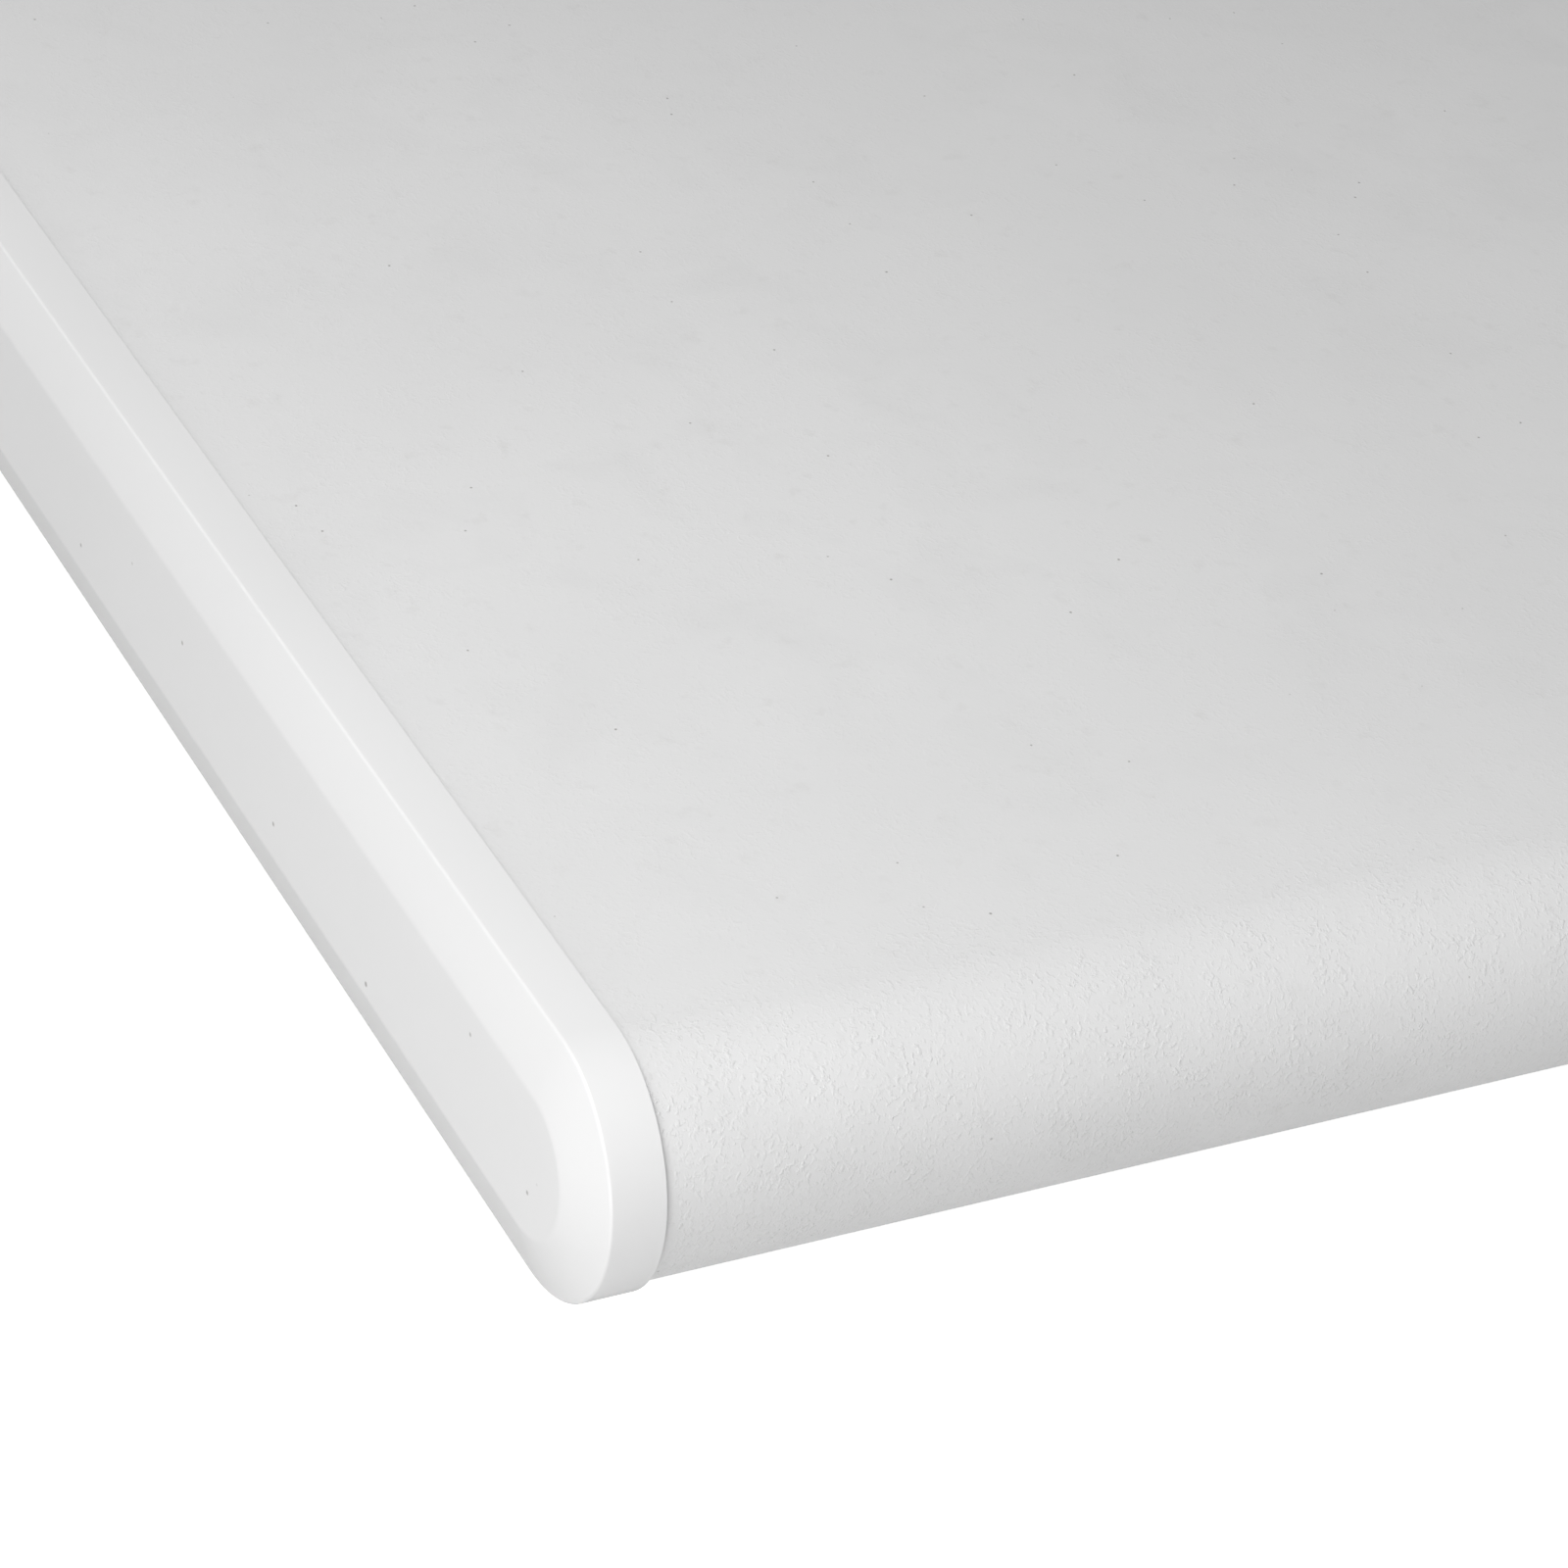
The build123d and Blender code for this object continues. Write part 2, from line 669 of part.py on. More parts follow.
save(hex_nuts(spring_points, rebound_nut_z, rebound_nut_height, rebound_head_flats,
              rebound_bolt_radius), "rebound_nuts")

# A waisted rubber stop that hangs under the spring plate, with a bonded stud
with BuildPart() as bump_stop:
    with BuildSketch(across(spring_y)):
        with BuildLine():
            low = plate_bottom - bump_stop_height
            shoulder = plate_bottom - bump_shoulder_share * bump_stop_height
            belly = low + bump_nose_share * bump_stop_height
            taper = bump_stop_radius - bump_nose_radius
            nose_arc = (taper**2 + (belly - low) ** 2) / (2 * taper)
            Polyline((0, low), (0, plate_bottom), (bump_stop_radius, plate_bottom),
                     (bump_stop_radius, shoulder))
            ThreePointArc((bump_stop_radius, shoulder),
                          (bump_waist_radius, (shoulder + belly) / 2),
                          (bump_stop_radius, belly))
            RadiusArc((bump_stop_radius, belly), (bump_nose_radius, low), nose_arc)
            Line((bump_nose_radius, low), (0, low))
        make_face()
    revolve(axis=Axis((0, spring_y, 0), (0, 0, 1)))
save(bump_stop, "bump_stop")
stud_top = rail_bottom + nut_washer_thickness + bump_nut_height + bump_stud_tail
with BuildPart() as bump_stop_stud:
    with BuildSketch(Plane.XY.offset(plate_bottom)):
        with Locations((0, spring_y)):
            Circle(bump_stud_radius)
    extrude(amount=stud_top - plate_bottom)
save(bump_stop_stud, "bump_stop_stud")
with BuildPart() as bump_stop_nut:
    with BuildSketch(Plane.XY.offset(rail_bottom)):
        with Locations((0, spring_y)):
            Circle(bump_washer_radius)
            Circle(bump_stud_radius, mode=Mode.SUBTRACT)
    extrude(amount=nut_washer_thickness)
    with BuildSketch(Plane.XY.offset(rail_bottom + nut_washer_thickness)):
        with Locations((0, spring_y)):
            RegularPolygon(bump_nut_flats / 2, 6, major_radius=False)
            Circle(bump_stud_radius, mode=Mode.SUBTRACT)
    extrude(amount=bump_nut_height)
save(bump_stop_nut, "bump_stop_nut")


# ---- Base --------------------------------------------------------------------------------------

for side, sign in SIDES.items():
    with BuildPart() as hoop:
        with BuildLine(Plane.YZ.offset(sign * hoop_x)):
            FilletPolyline((-leg_y, flange_thickness), (-leg_y, hoop_z), (leg_y, hoop_z),
                           (leg_y, flange_thickness), radius=hoop_bend)
        with BuildSketch(Plane((sign * hoop_x, -leg_y, flange_thickness), z_dir=(0, 0, 1))):
            Circle(hoop_tube / 2)
            Circle(hoop_tube / 2 - hoop_wall, mode=Mode.SUBTRACT)
        sweep()
    save(hoop, f"side_hoop_{side}")

    for end, along in (("front", -1), ("back", 1)):
        with BuildPart() as flange:
            with BuildSketch():
                with Locations((sign * hoop_x, along * leg_y)):
                    RectangleRounded(flange_width, flange_length, flange_corner)
                    with GridLocations(1, 2 * anchor_offset_y, 1, 2):
                        Circle(anchor_hole_radius, mode=Mode.SUBTRACT)
            extrude(amount=flange_thickness)
        save(flange, f"foot_flange_{end}_{side}")

# Base beams, cut to sit against the round hoops
for name, y in (("spring_beam", spring_y), ("hinge_beam", hinge_y)):
    with BuildPart() as base_beam:
        with BuildSketch(Plane.YZ.offset(-hoop_x)):
            with Locations((y, hoop_z)):
                tube_section(base_beam_depth, base_beam_height, base_beam_wall, base_beam_corner)
        extrude(amount=2 * hoop_x)
        with BuildSketch(across(leg_y)):
            with GridLocations(2 * hoop_x, 1, 2, 1):
                with Locations((0, hoop_z)):
                    Circle(hoop_tube / 2)
        extrude(amount=2 * leg_y, mode=Mode.SUBTRACT)
        if y == spring_y:
            with BuildSketch(Plane.XY.offset(beam_bottom)):
                with Locations(*spring_points):
                    Circle(rebound_bolt_radius)
            extrude(amount=base_beam_height, mode=Mode.SUBTRACT)
    save(base_beam, name)

# Gussets in the four inner corners between beams and hoops
hoop_face = hoop_x - hoop_tube / 2
with BuildPart() as gussets:
    with BuildSketch(Plane.XY.offset(hoop_z - gusset_thickness / 2)):
        for y, inward in ((spring_y + base_beam_depth / 2, 1), (hinge_y - base_beam_depth / 2, -1)):
            with BuildLine():
                Polyline((hoop_face, y), (hoop_face - gusset_leg, y),
                         (hoop_face, y + inward * gusset_leg), close=True)
            make_face()
        mirror(about=Plane.YZ)
    extrude(amount=gusset_thickness)
save(gussets, "gussets")

# Bonding lug on the back right flange, for the pool's earth wire
lug_x = hoop_x - flange_width / 2 + lug_width / 2 + lug_margin
lug_y = leg_y - anchor_offset_y / 2
lug_bore_z = flange_thickness + lug_height / 3
lug_top = flange_thickness + lug_height
lug_screw_end = lug_bore_z + lug_bore_radius
with BuildPart() as bonding_lug:
    with BuildSketch(Plane.XY.offset(flange_thickness)):
        with Locations((lug_x, lug_y)):
            Rectangle(lug_width, lug_length)
    extrude(amount=lug_height)
    fillet(bonding_lug.edges().filter_by(Axis.Z), lug_corner)
    with BuildSketch(across(lug_y + lug_length / 2)):
        with Locations((lug_x, lug_bore_z)):
            Circle(lug_bore_radius)
    extrude(amount=lug_length, mode=Mode.SUBTRACT)
    with BuildSketch(Plane.XY.offset(lug_screw_end)):
        with Locations((lug_x, lug_y)):
            Circle(lug_screw_radius)
    extrude(amount=lug_top - lug_screw_end, mode=Mode.SUBTRACT)
save(bonding_lug, "bonding_lug")
with BuildPart() as lug_screw:
    with BuildSketch(Plane.XY.offset(lug_screw_end)):
        with Locations((lug_x, lug_y)):
            Circle(lug_screw_radius)
    extrude(amount=lug_top + lug_screw_gap - lug_screw_end)
    with BuildSketch(Plane.XY.offset(lug_top + lug_screw_gap)):
        with Locations((lug_x, lug_y)):
            RegularPolygon(lug_screw_flats / 2, 6, major_radius=False)
    extrude(amount=lug_screw_head)
save(lug_screw, "bonding_lug_screw")
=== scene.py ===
import math

import bmesh
import bpy
import numpy as np
from mathutils import Matrix, Vector


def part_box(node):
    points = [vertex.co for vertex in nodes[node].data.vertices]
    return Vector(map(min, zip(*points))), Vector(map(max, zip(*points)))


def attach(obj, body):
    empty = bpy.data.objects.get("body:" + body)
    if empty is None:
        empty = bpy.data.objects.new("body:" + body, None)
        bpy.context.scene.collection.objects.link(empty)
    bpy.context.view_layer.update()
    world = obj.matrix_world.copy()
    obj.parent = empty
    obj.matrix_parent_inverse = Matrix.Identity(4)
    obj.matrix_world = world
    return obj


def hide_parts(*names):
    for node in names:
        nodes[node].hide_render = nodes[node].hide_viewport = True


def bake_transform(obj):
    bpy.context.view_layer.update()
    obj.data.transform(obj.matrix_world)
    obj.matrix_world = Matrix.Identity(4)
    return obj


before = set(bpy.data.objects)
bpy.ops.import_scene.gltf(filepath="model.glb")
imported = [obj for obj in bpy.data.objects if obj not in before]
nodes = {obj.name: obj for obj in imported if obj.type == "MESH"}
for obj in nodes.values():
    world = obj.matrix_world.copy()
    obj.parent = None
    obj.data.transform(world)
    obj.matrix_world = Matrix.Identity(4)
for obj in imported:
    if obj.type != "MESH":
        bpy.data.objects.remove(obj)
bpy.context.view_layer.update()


# ---- Foot flanges ----
# Four 10 mm stainless plates with rounded corners, laser cut, each with two anchor holes.
# They keep the dull grain of rolled plate, and water has left faint marks on them.

def effect(name, inputs, outputs):
    """An empty shader group with named number sockets, what its inputs give, and its end node."""
    group = bpy.data.node_groups.new(name, "ShaderNodeTree")
    for label, value in inputs.items():
        group.interface.new_socket(label, in_out="INPUT", socket_type="NodeSocketFloat")
        group.interface.items_tree[label].default_value = value
    for label in outputs:
        group.interface.new_socket(label, in_out="OUTPUT", socket_type="NodeSocketFloat")
    return group, group.nodes.new("NodeGroupInput").outputs, group.nodes.new("NodeGroupOutput")


def add_node(tree, kind, links=None, **settings):
    """Adds a node, sets its properties, and links a socket or writes a value to each input."""
    made = tree.nodes.new(kind)
    for key, value in settings.items():
        setattr(made, key, value)
    for key, value in (links or {}).items():
        if isinstance(value, bpy.types.NodeSocket):
            tree.links.new(value, made.inputs[key])
        else:
            made.inputs[key].default_value = value
    return made


def sum_of(tree, operation, first, second):
    """One sum on two numbers, each a socket or a value."""
    return add_node(tree, "ShaderNodeMath", {0: first, 1: second},
                    operation=operation).outputs[0]


def remap(tree, value, low, high, to_low, to_high):
    """Maps the stretch low..high of a value to to_low..to_high and clamps it."""
    made = add_node(tree, "ShaderNodeMapRange", {"Value": value, "From Min": low, "From Max": high,
                                                 "To Min": to_low, "To Max": to_high})
    return made.outputs["Result"]


def own_place(tree):
    """Where a point is on its own piece."""
    return add_node(tree, "ShaderNodeTexCoord").outputs["Object"]


def noise(tree, place, scale, detail, roughness=0.5, distortion=0.0):
    """Fractal noise read at a place, about 0.5."""
    made = add_node(tree, "ShaderNodeTexNoise", {
        "Vector": place, "Scale": scale, "Detail": detail, "Roughness": roughness,
        "Distortion": distortion})
    return made.outputs["Fac"]


def blend_colour(tree, amount, first, second):
    """Mixes two colours, each a socket or an RGB triple, by amount."""
    made = add_node(tree, "ShaderNodeMix", {"Factor": amount}, data_type="RGBA")
    for index, colour in ((6, first), (7, second)):
        if isinstance(colour, bpy.types.NodeSocket):
            tree.links.new(colour, made.inputs[index])
        else:
            made.inputs[index].default_value = (*colour, 1)
    return made.outputs[2]


# Grain: noise drawn out along one axis, by three scales, on the piece's own coordinates
grain, grain_in, grain_out = effect(
    "grain", {"Scale X": 40.0, "Scale Y": 900.0, "Scale Z": 900.0}, ["Height"])
grain_scale = add_node(grain, "ShaderNodeCombineXYZ", {
    axis: grain_in[f"Scale {axis}"] for axis in "XYZ"})
grain_stretch = add_node(grain, "ShaderNodeVectorMath", {
    0: own_place(grain), 1: grain_scale.outputs[0]}, operation="MULTIPLY")
grain.links.new(noise(grain, grain_stretch.outputs[0], 1.0, 4.0, 0.65), grain_out.inputs["Height"])

# Stain: soft cloudy patches where water has dried, and small hard specks
stain, stain_in, stain_out = effect(
    "stain", {"Patch Scale": 9.0, "Speck Scale": 260.0, "Speck Amount": 0.12}, ["Cloud", "Speck"])
stain_place = own_place(stain)
stain_cloud = noise(stain, stain_place, stain_in["Patch Scale"], 5.0, 0.6, 0.4)
stain_cell = add_node(stain, "ShaderNodeTexVoronoi", {
    "Vector": stain_place, "Scale": stain_in["Speck Scale"]})
stain_chance = add_node(stain, "ShaderNodeSeparateColor", {
    "Color": stain_cell.outputs["Color"]})
stain_rare = sum_of(stain, "LESS_THAN", stain_chance.outputs[0], stain_in["Speck Amount"])
stain_dot = remap(stain, stain_cell.outputs["Distance"], 0.12, 0.22, 1.0, 0.0)
stain.links.new(remap(stain, stain_cloud, 0.3, 0.7, 0.0, 1.0), stain_out.inputs["Cloud"])
stain.links.new(sum_of(stain, "MULTIPLY", stain_rare, stain_dot), stain_out.inputs["Speck"])


def new_material(name, **constants):
    """A material with its shader's constant sockets set. Returns it, its tree and the shader."""
    made = bpy.data.materials.new(name)
    made.use_nodes = True
    shader = made.node_tree.nodes["Principled BSDF"]
    for label, value in constants.items():
        shader.inputs[label.replace("_", " ")].default_value = value
    return made, made.node_tree, shader


def place_effect(tree, group, **values):
    """Puts a shared effect into a material with its own values, and returns its outputs."""
    made = tree.nodes.new("ShaderNodeGroup")
    made.node_tree = group
    for label, value in values.items():
        made.inputs[label.replace("_", " ")].default_value = value
    return made.outputs


def bump_normal(tree, height, depth, edge_round=0.0):
    """A normal from a height map of that depth in metres, over edges rounded by edge_round."""
    made = add_node(tree, "ShaderNodeBump", {"Height": height, "Distance": depth, "Strength": 1.0})
    if edge_round:
        rounded = add_node(tree, "ShaderNodeBevel", {"Radius": edge_round}, samples=4)
        tree.links.new(rounded.outputs[0], made.inputs["Normal"])
    return made.outputs[0]


def dress(tree, shader, colour, rough, normal):
    """Links a colour, a roughness and a normal to a material's shader."""
    for label, value in (("Base Color", colour), ("Roughness", rough), ("Normal", normal)):
        tree.links.new(value, shader.inputs[label])


def stainless(name, along, tone, rough, edge_round):
    """Stainless steel whose grain runs along one axis, with dried-water clouds and fine pits."""
    made, tree, shader = new_material(name, Metallic=1.0)
    scales = {f"Scale_{axis}": 25.0 if axis == along else 1400.0 for axis in "XYZ"}
    lines = place_effect(tree, grain, **scales)["Height"]
    marks = place_effect(tree, stain, Patch_Scale=7.0, Speck_Scale=320.0, Speck_Amount=0.05)
    clean = blend_colour(tree, remap(tree, lines, 0.35, 0.65, 0, 1),
                         [tone * 0.86] * 3, [tone * 1.06, tone * 1.06, tone * 1.05])
    dull = blend_colour(tree, remap(tree, marks["Cloud"], 0.2, 1.0, 0, 0.35), clean,
                        (tone * 0.78, tone * 0.76, tone * 0.72))
    pitted = blend_colour(tree, marks["Speck"], dull, (0.16, 0.12, 0.09))
    worn = sum_of(tree, "ADD", remap(tree, lines, 0.3, 0.7, -0.06, 0.06),
                  remap(tree, marks["Cloud"], 0.0, 1.0, rough, rough + 0.14))
    dress(tree, shader, pitted, worn, bump_normal(tree, lines, 0.00004, edge_round))
    return made


def finish_node(node, finish):
    """Gives a kept CAD node a better material in every slot it has."""
    target = nodes[node].data
    if not target.materials:
        target.materials.append(finish)
    for index in range(len(target.materials)):
        target.materials[index] = finish


plate_steel = stainless("plate_steel", "Y", 0.64, 0.36, 0.0007)
for end in ("front", "back"):
    for side in ("left", "right"):
        finish_node(f"foot_flange_{end}_{side}", plate_steel)


# ---- Side hoops ----
# Two stainless tubes, each mandrel-bent to an upturned U and linished along its length, so the
# polish lines follow the bends. Their lower ends are welded to the flanges.

def make_piece(name, shells, body, finish, crease=34.0):
    """One closed mesh from shells, each a (rows, cols, 3) grid of points joined in quads. A shell
    repeats its first line as its last where it closes on itself, and doubles are merged. Its UV map
    holds the distance along the rows and along the columns, in metres. With no body, the piece is
    left unattached."""
    points, faces, uvs = [], [], []
    start = 0
    for grid in shells:
        rows, cols = grid.shape[:2]
        index = start + np.arange(rows * cols).reshape(rows, cols)
        faces.append(np.stack([index[:-1, :-1], index[1:, :-1], index[1:, 1:], index[:-1, 1:]],
                              axis=-1).reshape(-1, 4))
        down, across = np.zeros((2, rows, cols))
        down[1:] = np.cumsum(np.linalg.norm(np.diff(grid, axis=0), axis=2), axis=0)
        across[:, 1:] = np.cumsum(np.linalg.norm(np.diff(grid, axis=1), axis=2), axis=1)
        uvs.append(np.stack([down, across], axis=-1).reshape(-1, 2))
        points.append(grid.reshape(-1, 3))
        start += rows * cols
    points, faces, uvs = np.concatenate(points), np.concatenate(faces), np.concatenate(uvs)
    mesh = bpy.data.meshes.new(name)
    mesh.from_pydata(points.tolist(), [], faces.tolist())
    layer = mesh.uv_layers.new(name="surface")
    layer.data.foreach_set("uv", uvs[faces.ravel()].astype(np.float32).ravel())
    work = bmesh.new()
    work.from_mesh(mesh)
    bmesh.ops.remove_doubles(work, verts=work.verts, dist=1e-7)
    bmesh.ops.recalc_face_normals(work, faces=work.faces)
    work.to_mesh(mesh)
    work.free()
    mesh.polygons.foreach_set("use_smooth", [True] * len(mesh.polygons))
    mesh.set_sharp_from_angle(angle=math.radians(crease))
    mesh.materials.append(finish)
    piece = bpy.data.objects.new(name, mesh)
    bpy.context.scene.collection.objects.link(piece)
    if body:
        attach(piece, body)
    return piece


def swept(path, radius, upright, around=24, closed=False):
    """A round bar along a path: at each point a circle of the radius there, square to the path.
    radius is a number or a (points, around + 1) array, and upright is never along the path. An
    open bar is closed at each end by a row on its centre."""
    if closed:
        along = np.roll(path, -1, 0) - np.roll(path, 1, 0)
    else:
        along = np.gradient(path, axis=0)
    along = along / np.linalg.norm(along, axis=1, keepdims=True)
    beside = np.cross(along, upright)
    beside = beside / np.linalg.norm(beside, axis=1, keepdims=True)
    above = np.cross(beside, along)
    turn = np.linspace(0, 2 * np.pi, around + 1)[None, :, None]
    ring = np.cos(turn) * beside[:, None] + np.sin(turn) * above[:, None]
    reach = np.broadcast_to(radius, ring.shape[:2])[..., None]
    grid = path[:, None] + reach * ring
    if closed:
        return np.concatenate([grid, grid[:1]])
    ends = np.broadcast_to(path[[0, -1]][:, None], (2, around + 1, 3))
    return np.concatenate([ends[:1], grid, ends[1:]])


tube_steel, tree, shader = new_material("tube_steel", Metallic=1.0)
tube_place = add_node(tree, "ShaderNodeMapping", {
    "Vector": add_node(tree, "ShaderNodeUVMap", uv_map="surface").outputs[0],
    "Scale": (18.0, 2200.0, 1.0)}).outputs[0]
tube_lines = noise(tree, tube_place, 1.0, 5.0, 0.7)
tube_marks = place_effect(tree, stain, Patch_Scale=5.0, Speck_Scale=240.0, Speck_Amount=0.04)
tube_clean = blend_colour(tree, remap(tree, tube_lines, 0.35, 0.65, 0, 1),
                          (0.60, 0.60, 0.595), (0.76, 0.76, 0.755))
tube_dull = blend_colour(tree, remap(tree, tube_marks["Cloud"], 0.35, 1.0, 0, 0.4),
                         tube_clean, (0.54, 0.53, 0.51))
dress(tree, shader, blend_colour(tree, tube_marks["Speck"], tube_dull, (0.20, 0.15, 0.10)),
      sum_of(tree, "ADD", remap(tree, tube_lines, 0.3, 0.7, 0.20, 0.30),
             remap(tree, tube_marks["Cloud"], 0.3, 1.0, 0.0, 0.12)),
      bump_normal(tree, tube_lines, 0.00003))

hoop_bend = 0.100


def hoop_path(x, leg, foot, top):
    """Centre line of a hoop: up one leg, a quarter turn, along the top, a quarter turn, down."""
    turn = np.linspace(0, np.pi / 2, 28)
    rise = np.linspace(foot, top - hoop_bend, 12)[:-1]
    run = np.linspace(-leg + hoop_bend, leg - hoop_bend, 60)[1:-1]
    y = np.concatenate([np.full(rise.size, -leg), -leg + hoop_bend * (1 - np.cos(turn)), run,
                        leg - hoop_bend * (1 - np.sin(turn)), np.full(rise.size, leg)])
    z = np.concatenate([rise, top - hoop_bend * (1 - np.sin(turn)), np.full(run.size, top),
                        top - hoop_bend * (1 - np.cos(turn)), rise[::-1]])
    return np.stack([np.full(y.size, x), y, z], axis=1)


for side in ("left", "right"):
    low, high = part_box(f"side_hoop_{side}")
    tube_radius = (high.x - low.x) / 2
    path = hoop_path((high.x + low.x) / 2, high.y - tube_radius, low.z, high.z - tube_radius)
    hoop = make_piece(f"hoop_tube_{side}", [swept(path, tube_radius, (1, 0, 0), around=64)],
                      "base", tube_steel)
    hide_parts(f"side_hoop_{side}")


# ---- Leg welds ----
# A fillet weld runs round the foot of each leg. The bead is laid in overlapping ripples and has
# a straw and blue heat tint that pickling has not quite taken off.

ripple_pitch = 0.0021
ripple_points = 5


def bead(path, radius, upright, closed=False):
    """A weld bead along a path: a round bar whose radius swells by a tenth once a ripple, and the
    swelling lags towards the bead's sides, which makes each ripple a crescent."""
    step = np.linalg.norm(np.diff(path, axis=0, append=path[:1]), axis=1)
    travelled = np.concatenate([[0.0], np.cumsum(step)[:-1]])[:, None]
    total = travelled[-1, 0] + (step[-1] if closed else 0.0)
    ripples = max(1, round(total / ripple_pitch))
    turn = np.linspace(0, 2 * np.pi, 15)[None, :]
    wave = np.sin(2 * np.pi * ripples * travelled / total + 1.2 * np.cos(2 * turn))
    return swept(path, radius * (1 + 0.1 * wave), upright, around=14, closed=closed)


def straight_bead(start, end, radius, upright=(0, 0, 1)):
    """A bead from start to end."""
    start, end = np.array(start, float), np.array(end, float)
    count = int(np.linalg.norm(end - start) / ripple_pitch * ripple_points) + 2
    return bead(start + (end - start) * np.linspace(0, 1, count)[:, None], radius, upright)


def ring_bead(centre, ring_radius, radius):
    """A bead round a level circle."""
    count = int(2 * np.pi * ring_radius / ripple_pitch * ripple_points)
    turn = np.linspace(0, 2 * np.pi, count, endpoint=False)
    path = np.stack([centre[0] + ring_radius * np.cos(turn),
                     centre[1] + ring_radius * np.sin(turn), np.full(count, centre[2])], axis=1)
    return bead(path, radius, (0, 0, 1), closed=True)


weld_steel, tree, shader = new_material("weld_steel", Metallic=1.0)
weld_cloud = place_effect(tree, stain, Patch_Scale=60.0)["Cloud"]
weld_tint = add_node(tree, "ShaderNodeValToRGB", {"Fac": weld_cloud})
weld_tint.color_ramp.elements[0].color = (0.42, 0.42, 0.43, 1)
weld_tint.color_ramp.elements[1].color = (0.46, 0.40, 0.30, 1)
weld_blue = weld_tint.color_ramp.elements.new(0.75)
weld_blue.color = (0.34, 0.35, 0.42, 1)
dress(tree, shader, weld_tint.outputs[0], remap(tree, weld_cloud, 0, 1, 0.28, 0.46),
      bump_normal(tree, noise(tree, own_place(tree), 1500.0, 2.0), 0.00005))

leg_weld, leg_weld_gap = 0.0032, 0.0004
for side in ("left", "right"):
    low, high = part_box(f"side_hoop_{side}")
    make_piece(f"leg_welds_{side}",
               [ring_bead(((low.x + high.x) / 2, y, low.z), tube_radius + leg_weld_gap, leg_weld)
                for y in (low.y + tube_radius, high.y - tube_radius)],
               "base", weld_steel)


# ---- Base beams and gussets ----
# Two stainless box sections tie the hoops together, coped to the round tube and welded all
# round. Flat gussets stiffen the four inner corners.

beam_steel = stainless("beam_steel", "X", 0.66, 0.32, 0.0008)
for node in ("spring_beam", "hinge_beam", "gussets"):
    finish_node(node, beam_steel)

hoop_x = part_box("side_hoop_right")[1].x - tube_radius


def cope_path(side, low, high):
    """The closed line where a beam meets a hoop: along the top edge, down one cheek on the tube's
    circle, back along the bottom edge and up the other cheek."""
    half = (high.z - low.z) / 2
    span = math.asin(half / tube_radius)
    count = int((high.y - low.y) / ripple_pitch * ripple_points)
    cheek_count = int(2 * span * tube_radius / ripple_pitch * ripple_points)
    cheek = np.linspace(span, -span, cheek_count)[1:-1]
    run = np.linspace(low.y, high.y, count)
    y = np.concatenate([run, np.full(cheek.size, high.y), run[::-1],
                        np.full(cheek.size, low.y)])
    lift = np.concatenate([np.full(count, span), cheek, np.full(count, -span), cheek[::-1]])
    return np.stack([side * (hoop_x - tube_radius * np.cos(lift)), y,
                     (high.z + low.z) / 2 + tube_radius * np.sin(lift)], axis=1)


beam_weld = 0.0026
for node in ("spring_beam", "hinge_beam"):
    low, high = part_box(node)
    make_piece(f"{node}_welds",
               [bead(cope_path(side, low, high), beam_weld, (1, 0, 0), closed=True)
                for side in (-1, 1)],
               "base", weld_steel)

low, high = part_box("gussets")
gusset_leg, gusset_weld = 0.060, 0.0018
gusset_beads = []
for side in (-1, 1):
    for y, inward in ((low.y, 1), (high.y, -1)):
        for z in (low.z, high.z):
            corner = (side * high.x, y, z)
            gusset_beads += [
                straight_bead(corner, (side * (high.x - gusset_leg), y, z), gusset_weld),
                straight_bead(corner, (side * high.x, y + inward * gusset_leg, z), gusset_weld)]
make_piece("gusset_welds", gusset_beads, "base", weld_steel)


# ---- Hinge clevises ----
# Two pairs of 10 mm stainless cheeks stand on the hinge beam, cut to a taper with a round head
# about the pin, and are welded along both faces.

cheek_steel = stainless("cheek_steel", "Z", 0.64, 0.34, 0.0008)
cheek_thick, cheek_weld = 0.010, 0.0024
cheek_beads = []
for side in ("left", "right"):
    finish_node(f"hinge_clevis_{side}", cheek_steel)
    low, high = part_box(f"hinge_clevis_{side}")
    for x in (low.x, low.x + cheek_thick, high.x - cheek_thick, high.x):
        cheek_beads.append(straight_bead((x, low.y, low.z), (x, high.y, low.z), cheek_weld))
make_piece("clevis_welds", cheek_beads, "base", weld_steel)


# ---- Hinge pin, washers and lock nuts ----
# The pin is 20 mm ground stainless bar, threaded at both ends for lock nuts over wide washers.
# The nuts are chamfered hexagons with a round collar that holds a nylon ring.

def about_axis(radius, turn, rise, centre, axis):
    """Points at a radius and an angle about an axis through centre, and at a height along it."""
    side_a, side_b = radius * np.cos(turn), radius * np.sin(turn)
    rise = np.broadcast_to(rise, side_a.shape)
    order = {"Z": (side_a, side_b, rise), "X": (rise, side_a, side_b)}[axis]
    return np.stack(order, axis=-1) + np.array(centre)


def revolved(profile, centre, axis="Z", around=48):
    """A turned solid: profile is (points, 2), radius and height, carried round the axis."""
    turn = np.linspace(0, 2 * np.pi, around + 1)
    return about_axis(profile[:, 0, None], turn, profile[:, 1, None], centre, axis)


def plain_bar(radius, start, end):
    """Profile of a plain bar from one height to another."""
    return np.array([(0.0, start), (radius, start), (radius, end), (0.0, end)])


